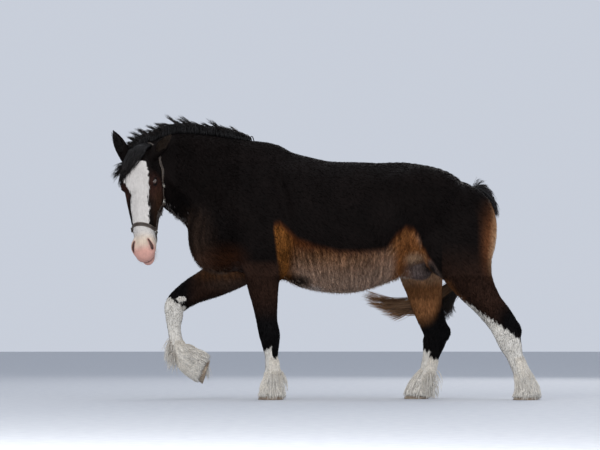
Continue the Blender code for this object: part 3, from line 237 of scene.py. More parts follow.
def trunk():
    """Barrel, withers, shoulders, breast, croup and quarters."""
    barrel = [
        (-0.50, 0.0, 1.13, 0.28, 0.27, 0.235),
        (-0.30, 0.0, 1.17, 0.40, 0.345, 0.285),
        (-0.08, 0.0, 1.20, 0.44, 0.405, 0.320),
        (0.14, 0.0, 1.19, 0.430, 0.450, 0.350),
        (0.34, 0.0, 1.18, 0.438, 0.450, 0.362),
        (0.55, 0.0, 1.20, 0.418, 0.400, 0.350),
        (0.74, 0.0, 1.24, 0.383, 0.350, 0.322),
        (0.90, 0.0, 1.25, 0.328, 0.320, 0.300),
        (1.02, 0.0, 1.22, 0.275, 0.300, 0.265),
    ]
    ridge = [
        (-0.42, 0.0, 1.62, 0.11, 0.12, 0.100),
        (-0.22, 0.0, 1.63, 0.11, 0.12, 0.085),
        (-0.06, 0.0, 1.58, 0.085, 0.12, 0.090),
        (0.10, 0.0, 1.53, 0.070, 0.10, 0.110),
    ]
    shapes = [
        (1, Limb(barrel, up=(0, 0, 1), blend=0.03)),
        (1, Limb(ridge, up=(0, 0, 1), blend=0.08)),
    ]
    for y in SIDES.values():
        thigh = 1.125 if y < 0 else 1.055
        shapes += [
            (1, Ball((-0.42, y * 0.150, 1.28), (0.17, 0.115, 0.29), turned(-22), 0.09)),
            (1, Ball((-0.60, y * 0.135, 1.12), (0.145, 0.120, 0.17), None, 0.10)),
            (1, Ball((-0.24, y * 0.215, 1.03), (0.17, 0.085, 0.17), turned(25), 0.06)),
            (1, Ball((-0.58, y * 0.090, 1.02), (0.14, 0.105, 0.15), None, 0.06)),
            (1, Ball((0.85, y * 0.165, 1.35), (0.26, 0.155, 0.210), turned(10), 0.08)),
            (1, Ball((0.68, y * 0.235, 1.40), (0.10, 0.060, 0.09), None, 0.10)),
            (1, Ball((thigh, y * 0.130, 1.13), (0.205, 0.130, 0.30), turned(6), 0.07)),
            (1, Ball((-0.31, y * 0.215, 1.20), (0.085, 0.070, 0.22), turned(-32), 0.06)),
            (1, Ball((0.80, y * 0.040, 0.875), (0.100, 0.050, 0.055), None, 0.05)),
        ]
        hollow = 0.330 if y < 0 else 0.335
        behind_shoulder = [
            (-0.16, y * 0.235, 1.50, 0.030),
            (-0.12, y * 0.300, 1.36, 0.034),
            (-0.09, y * 0.345, 1.20, 0.034),
            (-0.10, y * 0.345, 1.06, 0.026),
        ]
        thigh_line = [
            (thigh - 0.06, y * 0.290, 1.36, 0.024),
            (thigh + 0.02, y * 0.315, 1.18, 0.030),
            (thigh + 0.03, y * 0.340, 1.00, 0.024),
        ]
        shapes += [
            (-1, Ball((0.545, y * hollow * 1.17, 1.36), (0.100, 0.060, 0.150), turned(20), 0.09)),
            (-1, Limb(behind_shoulder, up=(1, 0, 0), blend=0.05)),
            (-1, Limb(thigh_line, up=(1, 0, 0), blend=0.05)),
        ]
    spine = [
        (0.30, 0.0, 1.672, 0.035),
        (0.55, 0.0, 1.668, 0.042, 0.042, 0.038),
        (0.85, 0.0, 1.640, 0.050, 0.050, 0.040),
        (1.05, 0.0, 1.560, 0.040, 0.040, 0.036),
    ]
    breast = [
        (-0.815, 0.0, 1.22, 0.030),
        (-0.790, 0.0, 1.05, 0.036, 0.036, 0.030),
        (-0.725, 0.0, 0.90, 0.030),
    ]
    shapes += [
        (-1, Limb(spine, up=(0, 0, 1), blend=0.06)),
        (-1, Limb(breast, up=(1, 0, 0), blend=0.05)),
    ]
    return shapes


def neck():
    crest = [
        (-0.30, 0.000, 1.36, 0.36, 0.40, 0.215),
        (-0.54, -0.015, 1.46, 0.325, 0.36, 0.175),
        (-0.75, -0.055, 1.535, 0.275, 0.315, 0.150),
        (-0.91, -0.115, 1.570, 0.230, 0.260, 0.130),
        (-1.02, -0.180, 1.590, 0.150, 0.190, 0.110),
    ]
    shapes = [(1, Limb(crest, up=(0, 0, 1), blend=0.08))]
    for y in SIDES.values():
        muscle = [
            (-0.60, y * 0.165, 1.20, 0.050, 0.050, 0.045),
            (-0.71, y * 0.150 - 0.030, 1.33, 0.050, 0.050, 0.040),
            (-0.83, y * 0.135 - 0.075, 1.44, 0.045, 0.045, 0.035),
            (-0.93, y * 0.110 - 0.125, 1.53, 0.040, 0.040, 0.030),
        ]
        shapes.append((1, Limb(muscle, up=(0, 1, 0), blend=0.06)))
    return shapes


# Each leg runs down from the body. A station's reaches are forwards, backwards and to the side.
LEG_PATHS = {
    "foreleg_left": [
        (-0.27, -0.195, 0.98, 0.14, 0.15, 0.090),
        (-0.255, -0.190, 0.87, 0.125, 0.125, 0.090),
        (-0.248, -0.180, 0.76, 0.106, 0.108, 0.082),
        (-0.235, -0.168, 0.65, 0.088, 0.088, 0.070),
        (-0.222, -0.155, 0.53, 0.074, 0.072, 0.062),
        (-0.205, -0.146, 0.44, 0.073, 0.072, 0.066),
        (-0.199, -0.140, 0.37, 0.060, 0.062, 0.052),
        (-0.193, -0.132, 0.29, 0.045, 0.048, 0.041),
        (-0.190, -0.124, 0.20, 0.048, 0.054, 0.048),
        (-0.203, -0.118, 0.13, 0.044, 0.050, 0.048),
        (-0.213, -0.114, 0.085, 0.058, 0.058, 0.060),
    ],
    "foreleg_right": [
        (-0.27, 0.195, 1.00, 0.14, 0.14, 0.090),
        (-0.42, 0.200, 0.89, 0.13, 0.12, 0.098),
        (-0.58, 0.200, 0.805, 0.120, 0.105, 0.086),
        (-0.73, 0.192, 0.735, 0.098, 0.085, 0.072),
        (-0.848, 0.186, 0.650, 0.076, 0.074, 0.068),
        (-0.864, 0.182, 0.565, 0.062, 0.064, 0.056),
        (-0.862, 0.180, 0.475, 0.047, 0.048, 0.043),
        (-0.850, 0.180, 0.395, 0.047, 0.050, 0.043),
        (-0.832, 0.180, 0.325, 0.050, 0.054, 0.050),
        (-0.790, 0.180, 0.262, 0.044, 0.046, 0.048),
        (-0.758, 0.180, 0.228, 0.058, 0.056, 0.060),
    ],
    "hindleg_left": [
        (1.00, -0.140, 1.26, 0.24, 0.24, 0.120),
        (1.06, -0.175, 1.04, 0.215, 0.245, 0.140),
        (1.105, -0.200, 0.90, 0.175, 0.208, 0.130),
        (1.175, -0.202, 0.77, 0.135, 0.138, 0.105),
        (1.262, -0.198, 0.65, 0.105, 0.098, 0.082),
        (1.342, -0.193, 0.55, 0.100, 0.092, 0.064),
        (1.395, -0.190, 0.465, 0.102, 0.086, 0.060),
        (1.426, -0.185, 0.38, 0.094, 0.064, 0.050),
        (1.450, -0.180, 0.29, 0.064, 0.052, 0.044),
        (1.474, -0.175, 0.20, 0.050, 0.058, 0.049),
        (1.490, -0.170, 0.13, 0.046, 0.052, 0.049),
        (1.503, -0.168, 0.085, 0.060, 0.060, 0.061),
    ],
    "hindleg_right": [
        (0.95, 0.140, 1.26, 0.24, 0.24, 0.120),
        (0.88, 0.172, 1.04, 0.210, 0.215, 0.140),
        (0.835, 0.190, 0.90, 0.165, 0.175, 0.128),
        (0.850, 0.188, 0.76, 0.128, 0.130, 0.100),
        (0.872, 0.180, 0.64, 0.108, 0.108, 0.080),
        (0.902, 0.172, 0.54, 0.094, 0.096, 0.064),
        (0.930, 0.166, 0.45, 0.086, 0.090, 0.060),
        (0.925, 0.164, 0.38, 0.088, 0.072, 0.050),
        (0.900, 0.162, 0.29, 0.064, 0.054, 0.044),
        (0.872, 0.160, 0.20, 0.052, 0.058, 0.050),
        (0.845, 0.160, 0.13, 0.048, 0.052, 0.050),
        (0.828, 0.160, 0.085, 0.062, 0.060, 0.062),
    ],
}


def legs():
    shapes = [(1, Limb(path, side=(0, 1, 0), blend=0.05)) for path in LEG_PATHS.values()]
    shapes += [
        (1, Ball((-0.150, -0.215, 0.89), (0.070, 0.050, 0.070), None, 0.05)),
        (1, Ball((-0.260, 0.215, 0.86), (0.080, 0.055, 0.070), None, 0.05)),
        (1, Ball((0.945, -0.235, 0.98), (0.120, 0.075, 0.130), None, 0.06)),
        (1, Ball((0.760, 0.225, 0.97), (0.110, 0.075, 0.120), None, 0.06)),
        (1, Ball((1.450, -0.188, 0.475), (0.034, 0.030, 0.045), turned(-20), 0.03)),
        (1, Ball((1.000, 0.166, 0.455), (0.032, 0.030, 0.045), turned(0), 0.03)),
    ]
    return shapes


EYE_RADIUS = 0.026
LID = 0.0045                      # thickness of an eyelid
EYE_AT = (0.250, 0.040, 0.104)    # down, out and to the side
GAZE = (0.05, 0.42, 0.90)         # the way an eye looks, along the same three
EYE_SLANT = (0.80, 0.55, -0.30)   # from the back corner of the eye to its front corner


def eye_frame(side):
    """The middle of an eye, the way it looks, along its opening, and up across the lids."""
    def way(down, out, left):
        return unit(down * DOWN + out * OUT + side * left * LEFT)

    gaze = way(*GAZE)
    along = way(*EYE_SLANT)
    along = unit(along - np.dot(along, gaze) * gaze)
    across = np.cross(gaze, along)
    if np.dot(across, DOWN) > 0:
        across = -across
    return head(EYE_AT[0], EYE_AT[1], side * EYE_AT[2]), gaze, along, across


def eye_opening(side):
    """The almond between the lids: a lens that reaches into the eyeball."""
    middle, gaze, along, across = eye_frame(side)
    r = EYE_RADIUS
    return Ball(
        middle + 0.95 * r * gaze + 0.05 * r * across,
        (0.98 * r, 0.52 * r, 0.75 * r),
        [along, across, gaze],
        0.004,
    )


def brow(side):
    """The fold of skin over an eye, from its front corner to its back corner."""
    middle, gaze, along, across = eye_frame(side)
    path = []
    for i in range(7):
        t = i / 3 - 1
        turn = math.radians(62) * t
        rise = math.radians(58) * math.cos(math.pi / 2 * t) + math.radians(8)
        place = math.cos(rise) * (math.cos(turn) * gaze + math.sin(turn) * along)
        path.append(middle + (EYE_RADIUS + 0.004) * (place + math.sin(rise) * across))
    return Limb([(*p, 0.0075) for p in path], up=gaze, blend=0.010)


def nostril(side):
    """The hollow of a nostril, a comma that opens down and to the side."""
    rows = [
        (*head(0.636, 0.036, side * 0.050), 0.0035),
        (*head(0.654, 0.033, side * 0.059), 0.0060),
        (*head(0.675, 0.020, side * 0.066), 0.0085, 0.0085, 0.0080),
        (*head(0.691, 0.006, side * 0.065), 0.0065),
    ]
    return Limb(rows, up=OUT, blend=0.006)


def mouth(side):
    """The cut between the lips, from its corner to the middle."""
    rows = [
        (*head(0.660, -0.070, side * 0.066), 0.006, 0.006, 0.010),
        (*head(0.705, -0.062, side * 0.064), 0.007, 0.007, 0.012),
        (*head(0.744, -0.053, side * 0.042), 0.0065, 0.0065, 0.014),
        (*head(0.762, -0.048, 0.0), 0.0065, 0.0065, 0.016),
    ]
    return Limb(rows, up=OUT, blend=0.008)


NOSTRILS = {1: nostril(1), -1: nostril(-1)}
MOUTHS = {1: mouth(1), -1: mouth(-1)}


def head_shapes():
    """Skull, jaw, cheeks, brow, muzzle and lips, with the sockets, nostrils and mouth cut in."""
    skull = [
        (0.045, -0.030, 0.075, 0.100, 0.078),
        (0.120, -0.022, 0.092, 0.150, 0.094),
        (0.200, -0.012, 0.096, 0.185, 0.103),
        (0.280, -0.012, 0.092, 0.190, 0.102),
        (0.360, -0.014, 0.086, 0.160, 0.098),
        (0.450, -0.018, 0.076, 0.130, 0.086),
        (0.540, -0.022, 0.070, 0.104, 0.074),
        (0.620, -0.025, 0.070, 0.085, 0.067),
        (0.695, -0.034, 0.060, 0.062, 0.062),
    ]
    stations = [(*head(l, h), up, down, side) for l, h, up, down, side in skull]
    shapes = [(1, Limb(stations, up=OUT, blend=0.05))]
    axes = [DOWN, OUT, LEFT]
    for s in (1, -1):
        down, out = EYE_AT[:2]
        crest = [
            (*head(0.26, 0.002, s * 0.088), 0.026, 0.026, 0.022),
            (*head(0.34, -0.006, s * 0.086), 0.019, 0.019, 0.014),
            (*head(0.44, -0.016, s * 0.074), 0.012, 0.012, 0.009),
            (*head(0.52, -0.024, s * 0.060), 0.008, 0.008, 0.006),
        ]
        bar = [
            (*head(0.32, -0.165, s * 0.052), 0.036, 0.034, 0.026),
            (*head(0.50, -0.115, s * 0.034), 0.032, 0.028, 0.024),
            (*head(0.66, -0.092, s * 0.024), 0.026, 0.022, 0.024),
        ]
        shapes += [
            (1, Ball(head(0.255, -0.105, s * 0.064), (0.130, 0.112, 0.050), axes, 0.05)),
            (1, Ball(head(down - 0.055, out + 0.012, s * 0.046), (0.110, 0.034, 0.060), axes, 0.04)),
            (1, Ball(head(down - 0.016, out + 0.006, s * 0.084), (0.054, 0.040, 0.031), axes, 0.03)),
            (1, Limb(crest, up=OUT, blend=0.030)),
            (1, Limb(bar, up=OUT, blend=0.04)),
            (1, Ball(head(0.655, -0.004, s * 0.054), (0.052, 0.036, 0.026), axes, 0.022)),
        ]
    shapes += [
        (1, Ball(head(0.722, -0.016), (0.043, 0.046, 0.056), axes, 0.025)),
        (1, Ball(head(0.714, -0.080), (0.055, 0.034, 0.045), axes, 0.018)),
    ]
    for s in (1, -1):
        wing = [
            (*head(0.620, 0.026, s * 0.046), 0.007),
            (*head(0.645, 0.026, s * 0.061), 0.009),
            (*head(0.674, 0.006, s * 0.069), 0.011, 0.011, 0.010),
            (*head(0.702, -0.018, s * 0.062), 0.010, 0.010, 0.009),
        ]
        shapes += [
            (1, Ball(eye_frame(s)[0], [EYE_RADIUS + LID] * 3, None, 0.016)),
            (1, brow(s)),
            (-1, eye_opening(s)),
            (1, Limb(wing, up=OUT, blend=0.022)),
            (-1, NOSTRILS[s]),
            (-1, MOUTHS[s]),
        ]
    return shapes


# An ear's base and tip, and the way its cup opens.
EARS = {
    "left": ((-0.985, -0.295, 1.640), (-0.868, -0.255, 1.775), (0.35, -0.90, 0.25)),
    "right": ((-1.172, -0.250, 1.632), (-1.252, -0.275, 1.805), (-0.45, -0.85, 0.15)),
}

# Along an ear: share of its length, half its width, half its depth, and how much of that is hollow.
EAR_PROFILE = (
    (-0.16, 0.036, 0.034, 0),
    (0.08, 0.041, 0.038, 0),
    (0.24, 0.043, 0.037, 0.40),
    (0.44, 0.043, 0.034, 0.66),
    (0.64, 0.036, 0.026, 0.70),
    (0.84, 0.021, 0.016, 0.66),
    (0.93, 0.012, 0.010, 0.50),
    (1.00, 0.005, 0.005, 0),
)


def ear_shapes(base, tip, opening):
    base, tip = np.array(base), np.array(tip)
    along = unit(tip - base)
    opening = unit(np.array(opening) - np.dot(opening, along) * along)
    long = np.linalg.norm(tip - base)
    outer, inner = [], []
    for t, wide, deep, hollow in EAR_PROFILE:
        outer.append((*(base + along * long * t), deep, deep, wide))
        if hollow:
            place = base + along * long * t + opening * deep * 0.70
            inner.append((*place, deep * hollow * 1.2, deep * hollow * 1.2, wide * hollow))
    return [(1, Limb(outer, up=opening, blend=0.01)), (-1, Limb(inner, up=opening, blend=0.007))]


FLESH = trunk() + neck() + legs() + head_shapes()
EAR_SHAPES = []
for base, tip, opening in EARS.values():
    EAR_SHAPES += ear_shapes(base, tip, opening)

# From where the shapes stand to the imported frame: an eye's middle is known in both.
MOVE = np.array(sum(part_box("eye_left"), Vector()) / 2) - eye_frame(1)[0]
MOVE[2] = 0.0


def step_up(x, low, high):
    """0 below low, 1 above high, and smooth between."""
    t = np.clip((x - low) / (high - low), 0, 1)
    return t * t * (3 - 2 * t)


NECK_CUT = (np.array((-0.84, -0.085, 1.55)), unit((-0.90, -0.36, 0.12)))


def past_neck(p):
    """How far each point lies past the cut where the fine skin of the head begins."""
    place, way = NECK_CUT
    return (p - place) @ way


def skin_depth(p):
    """How far inside the flesh the skin lies: less under the fine coat of the head."""
    return COAT_DEPTH + (FACE_DEPTH - COAT_DEPTH) * step_up(past_neck(p), 0.05, 0.16)


def skin_field(p):
    return distance(FLESH, p) + skin_depth(p)


def head_field(p):
    return distance(FLESH + EAR_SHAPES, p) + skin_depth(p)


def slope_of(p, field=skin_field, reach=0.003):
    """The way straight out of the skin at each point."""
    out = np.empty_like(p)
    for axis in range(3):
        step = np.zeros(3)
        step[axis] = reach
        out[:, axis] = field(p + step) - field(p - step)
    return unit(out)


def flattened(points, lifts):
    """Points as one long list, with each one's own height."""
    points = np.array(points, float)
    return points.reshape(-1, 3), np.broadcast_to(lifts, points.shape[:-1]).reshape(-1)


def on_skin(points, lifts, rounds=4):
    """Points moved along the slope of the skin until each lies its own height over it."""
    flat, heights = flattened(points, lifts)
    for _ in range(rounds):
        gap = np.clip(heights - skin_field(flat), -MOST_STEP, MOST_STEP)
        flat = flat + slope_of(flat) * gap[:, None]
    return flat.reshape(np.shape(points))


def kept_above(points, lifts):
    """Points under their height over the skin are raised to it. The others stay."""
    flat, heights = flattened(points, lifts)
    for _ in range(3):
        gap = np.clip(heights - skin_field(flat), 0, MOST_STEP)
        low = gap > 1e-5
        if not low.any():
            break
        flat[low] += slope_of(flat[low]) * gap[low, None]
    return flat.reshape(np.shape(points))


# Colours of the coat, linear red, green and blue.
SEAL = (0.0044, 0.0030, 0.0027)
BLACK = (0.0036, 0.0032, 0.0034)
TAN = (0.155, 0.058, 0.013)
BROWN = (0.024, 0.0115, 0.0075)
BEIGE = (0.280, 0.158, 0.096)
LILAC = (0.130, 0.105, 0.100)
GREYISH = (0.082, 0.050, 0.036)
PINK = (0.62, 0.33, 0.27)
MUZZLE = (0.66, 0.52, 0.39)
GOLDEN = (0.330, 0.180, 0.090)
RUST = (0.060, 0.018, 0.005)
FAWN = (0.215, 0.082, 0.026)
SAND = (0.150, 0.062, 0.020)
# The face's white is the legs' white painted darker: painted shade on the face.
WHITE_COAT, WHITE_FACE_SHADED = (0.78, 0.745, 0.68), (0.60, 0.57, 0.54)


def spot(p, middle, reach, soft=0.5):
    """1 inside an ellipsoid and 0 outside, with a soft rim. An endless reach leaves that axis out."""
    q = (p - np.array(middle)) / np.array(reach)
    return 1 - step_up(np.linalg.norm(q, axis=1), 1 - soft, 1 + soft)


def through(p, x, z, wide, tall, soft):
    """A soft spot as it is seen from the side, right through the body."""
    return spot(p, (x, 0, z), (wide, ENDLESS, tall), soft)


def paint(colours, *layers):
    """Coats of colour laid one over the other, each with its weight."""
    for weight, colour in layers:
        weight = np.clip(weight, 0, 1)[:, None]
        colours = colours * (1 - weight) + np.array(colour) * weight
    return colours


ENDLESS = 1e6   # a reach that leaves an axis out

# The blaze: how far down the head, and how far it reaches to the right and to the left there.
BLAZE = (
    (0.100, 0.010, 0.020),
    (0.108, -0.015, 0.050),
    (0.118, -0.034, 0.070),
    (0.145, -0.070, 0.076),
    (0.200, -0.096, 0.088),
    (0.235, -0.086, 0.089),
    (0.280, -0.058, 0.083),
    (0.330, -0.047, 0.066),
    (0.415, -0.064, 0.064),
    (0.530, -0.052, 0.056),
    (0.575, -0.085, 0.085),
    (0.640, -0.150, 0.150),
    (0.800, -0.200, 0.200),
)

# Where the warm colour of the lower barrel, elbow and flank begins: x along the body, and height.
WARM_TOP = (
    (-0.205, 0.60), (-0.178, 1.176), (-0.136, 1.190), (-0.083, 1.143), (-0.017, 1.076), (0.102, 1.029),
    (0.260, 0.990), (0.458, 0.990), (0.577, 1.009), (0.643, 1.103), (0.709, 1.156), (0.762, 1.143),
    (0.802, 1.09), (0.828, 1.009), (0.933, 0.838),
)


def below_warm_top(x, z):
    rows = np.array(WARM_TOP)
    return np.interp(x, rows[:, 0], rows[:, 1]) - z


def warm(p):
    """How far each place lies in the thin warm coat of the lower barrel and flank, from 0 to 1."""
    x, z = p[:, 0], p[:, 2]
    front = x - np.interp(z, (0.82, 1.18), (-0.136, -0.178))
    ends = step_up(front, -0.008, 0.014) * (1 - step_up(x, 0.90, 0.96))
    return ends * (z > 0.70) * step_up(below_warm_top(x, z), -0.03, 0.03)


def below_line(x, z, start, end):
    """How far points lie below a slanting line, in metres."""
    run = np.array((end[0] - start[0], end[1] - start[1]))
    run = run / np.linalg.norm(run)
    return (x - start[0]) * run[1] - (z - start[1]) * run[0]


def body_colour(p, n, body, wave):
    """Near black over the top, and warm below a wavy line where the winter coat thins."""
    x, z = p[:, 0], p[:, 2]
    below = below_warm_top(x, z)
    part = body * warm(p)
    middle = part * step_up(x, -0.09, 0.02)
    upper = step_up(below + 0.025 * wave - 0.05 * (1 - step_up(x, 0.02, 0.14)), 0.005, 0.075)
    lower = step_up(below + 0.02 * wave - 0.04 * (1 - step_up(x, 0.05, 0.3)), 0.115, 0.200)
    flank = part * step_up(x, 0.60, 0.68)
    colour = paint(
        np.tile(np.array(SEAL), (len(p), 1)),
        (part, RUST),
        (part * (1 - 0.9 * step_up(x, -0.110, -0.020)) * step_up(below, 0.00, 0.05), TAN),
        (middle * upper, SAND),
        (middle * 0.85 * lower * (1 - step_up(x, 0.64, 0.74)), BEIGE),
        (middle * step_up(-n[:, 2], 0.25, 0.80) * 0.55, (0.46, 0.33, 0.25)),
        (flank * step_up(below, 0.01, 0.07), FAWN),
        (flank * through(p, 0.775, 0.960, 0.055, 0.030, 0.6) * 0.9, (0.46, 0.30, 0.18)),
        (part * step_up(x, 0.68, 0.78) * (1 - step_up(z, 0.905, 0.955)) * 0.9, LILAC),
        (part * through(p, 0.900, 0.895, 0.065, 0.035, 0.8), SEAL),
        (part * through(p, -0.035, 0.810, 0.085, 0.040, 0.6) * 0.9, SEAL),
        (part * through(p, 0.055, 0.755, 0.080, 0.022, 0.6) * 0.9, (0.42, 0.36, 0.33)),
    )
    colour = colour * (1 + part * (0.82 + 0.42 * wave - 1))[:, None]
    # The back of the quarters is reddish brown, the coat's own colour; where it faces straight back it is
    # painted golden and pale, which is painted rim light.
    behind = body * step_up(n[:, 0], 0.25, 0.70) * through(p, 1.30, 1.00, 0.18, 0.25, 0.6)
    lit = step_up(n[:, 0], 0.88, 0.99) * (1 - step_up(z, 1.10, 1.22))
    # Painted rim light: fawn where the front of the near hind stifle faces forwards.
    edge = body * through(p, 0.92, 0.90, 0.11, 0.16, 0.7) * step_up(-n[:, 0], 0.60, 0.90)
    return paint(
        colour,
        (body * spot(p, (-0.69, 0, 1.05), (0.13, 0.26, 0.20), 0.7) * (0.35 + 0.5 * wave), GREYISH),
        (body * spot(p, (-0.52, 0, 0.96), (0.20, 0.24, 0.10), 0.7) * 0.6, RUST),
        (behind * 0.85, (0.120, 0.042, 0.015)),
        # golden, then pale, where the quarters face straight back: painted rim light
        (behind * step_up(n[:, 0], 0.60, 0.92) * 0.9, GOLDEN),
        (behind * lit * 0.8, (0.50, 0.35, 0.23)),
        # painted rim light on the front of the near hind stifle
        (edge * 0.7, FAWN),
    )


def leg_markings(p, n, colour, wave):
    """Legs are brown above, black at the knee and hock, then white. Also how far inside the white."""
    x, y, z = p.T
    near_fore = (np.abs(x + 0.22) < 0.25) & (y < -0.02) & (z < 0.95)
    far_fore = (x < -0.36) & (y > 0.03) & (z < 0.99)
    far_hind = (y > 0.02) & (x > 0.45) & (x < 1.12) & (z < 0.98)
    near_hind = (y < -0.02) & (x > 0.95) & (z < 1.05)
    streak = through(p, -0.53, 0.87, 0.17, 0.055, 0.7) * (0.4 + 0.5 * wave)
    # Painted rim light: lighter brown where the near hind gaskin faces forwards.
    gaskin_rim_light = through(p, 1.06, 0.72, 0.13, 0.12, 0.6) * step_up(-n[:, 0], 0.45, 0.85)
    colour = paint(
        colour,
        (near_fore * step_up(0.95 - z, 0, 0.06) * (1 - step_up(x, -0.17, -0.10)), BROWN),
        (near_fore * (1 - step_up(z, 0.50, 0.72)), BLACK),
        (far_fore * step_up(0.99 - z, 0, 0.06), BROWN),
        (far_fore * streak, (0.13, 0.058, 0.026)),
        (far_fore * through(p, -0.45, 0.78, 0.15, 0.04, 0.7) * 0.5, GREYISH),
        (far_fore * step_up(-x, 0.68, 0.80), BLACK),
        (far_hind * step_up(0.98 - z, 0, 0.06), (0.19, 0.082, 0.032)),
        (far_hind * step_up(z, 0.76, 0.84) * 0.8, (0.33, 0.20, 0.12)),
        # painted shadow of the near hind leg, dark on the far hind's back edge
        (far_hind * step_up(x - 0.35 * (z - 0.75), 0.96, 1.02), SEAL),
        (far_hind * (1 - step_up(z + 0.30 * (0.92 - x), 0.49, 0.62)), BLACK),
        (near_hind * step_up(1.08 - z, 0, 0.34), BROWN),
        # painted rim light on the front of the near hind gaskin
        (near_hind * gaskin_rim_light * 0.9, (0.17, 0.068, 0.024)),
        (near_hind * through(p, 1.45, 0.52, 0.13, 0.13, 0.5), BLACK),
    )
    edges = (
        (near_fore & (z < 0.6),
         0.345 - z + 0.010 * np.sin(60 * x) - 0.075 * through(p, -0.170, 0.30, 0.020, 0.060, 0.6)),
        (far_fore, below_line(x, z, (-0.94, 0.720), (-0.78, 0.625))
         + 0.10 * through(p, -0.805, 0.685, 0.030, 0.016, 0.7)),
        (far_hind & (z < 0.6), below_line(x, z, (0.820, 0.362), (0.965, 0.248))
         - 0.04 * through(p, 0.90, 0.275, 0.022, 0.030, 0.6)),
        (near_hind & (z < 0.75), below_line(x, z, (1.142, 0.640), (1.503, 0.385))),
    )
    white = np.full(len(p), -1.0)
    for leg, edge in edges:
        white = np.where(leg, edge, white)
    return colour, white


def head_colour(p, face, colour):
    """Lighter hair about the eyes and down the cheeks, and a dark rim to each eye."""
    for s in (1, -1):
        from_eye = np.linalg.norm(p - eye_frame(s)[0], axis=1)
        colour = paint(
            colour,
            (face * spot(p, head(0.27, 0.0, s * 0.10), (0.085, 0.085, 0.085), 0.6) * 0.8,
             (0.036, 0.014, 0.010)),
            (face * spot(p, head(0.42, -0.06, s * 0.08), (0.10, 0.06, 0.16), 0.7) * 0.7,
             (0.042, 0.020, 0.011)),
            (1 - step_up(from_eye, EYE_RADIUS + 0.004, EYE_RADIUS + 0.011), (0.008, 0.006, 0.006)),
        )
    return colour


def inside_blaze(down, out, left):
    """How far each place on the head lies inside the blaze, in metres."""
    rows = np.array(BLAZE)
    right = np.interp(down, rows[:, 0], rows[:, 1])
    to_left = np.interp(down, rows[:, 0], rows[:, 2])
    return np.where((out > -0.11) | (down > 0.56), np.minimum(left - right, to_left - left), -1.0)


def pale_colour(p, face, down):
    """The colour inside the white: hair white, pink and beige on the muzzle, painted shade in nostrils and
    mouth.
    """
    pale = paint(
        np.tile(np.array(WHITE_COAT), (len(p), 1)),
        # the face's white, a darker copy of the legs' white, as painted shade
        (face, WHITE_FACE_SHADED),
        (face * step_up(down, 0.56, 0.65) * 0.8, MUZZLE),
        (face * step_up(down, 0.640, 0.71), PINK),
    )
    for s in (1, -1):
        hollow, line = NOSTRILS[s].distance(p), MOUTHS[s].distance(p)
        # Red skin round each nostril, then near black painted shade deep in its hollow, and a dark line of
        # painted shade along the cut between the lips.
        pale = paint(
            pale,
            (face * (1 - step_up(hollow, 0.003, 0.011)) * 0.6, (0.38, 0.15, 0.12)),
            (face * (1 - step_up(hollow, 0.0006, 0.0026)), (0.030, 0.011, 0.010)),
            (face * (1 - step_up(line, 0.0020, 0.0060)) * 0.95, (0.11, 0.030, 0.028)),
        )
    return paint(pale, ((1 - face) * step_up(0.10 - p[:, 2], 0, 0.10) * 0.35, (0.55, 0.48, 0.39)))


def markings(p, n):
    """The dark coat's colour, how far inside the white each place lies, the colour there, and bare skin."""
    x, z = p[:, 0], p[:, 2]
    down, out, left = head_place(p)
    face = step_up(past_neck(p), 0.04, 0.12)
    wave = 0.5 + 0.5 * np.sin(170 * x + 3 * np.sin(31 * x) + 2 * np.sin(13 * z + 9 * x))
    colour, white = leg_markings(p, n, body_colour(p, n, 1 - face, wave), wave)
    white = np.where(face > 0.5, inside_blaze(down, out, left) * 1.6, white)
    skin = step_up(down, 0.60, 0.69) * face
    return head_colour(p, face, colour), np.clip(white, -0.2, 0.2), pale_colour(p, face, down), skin


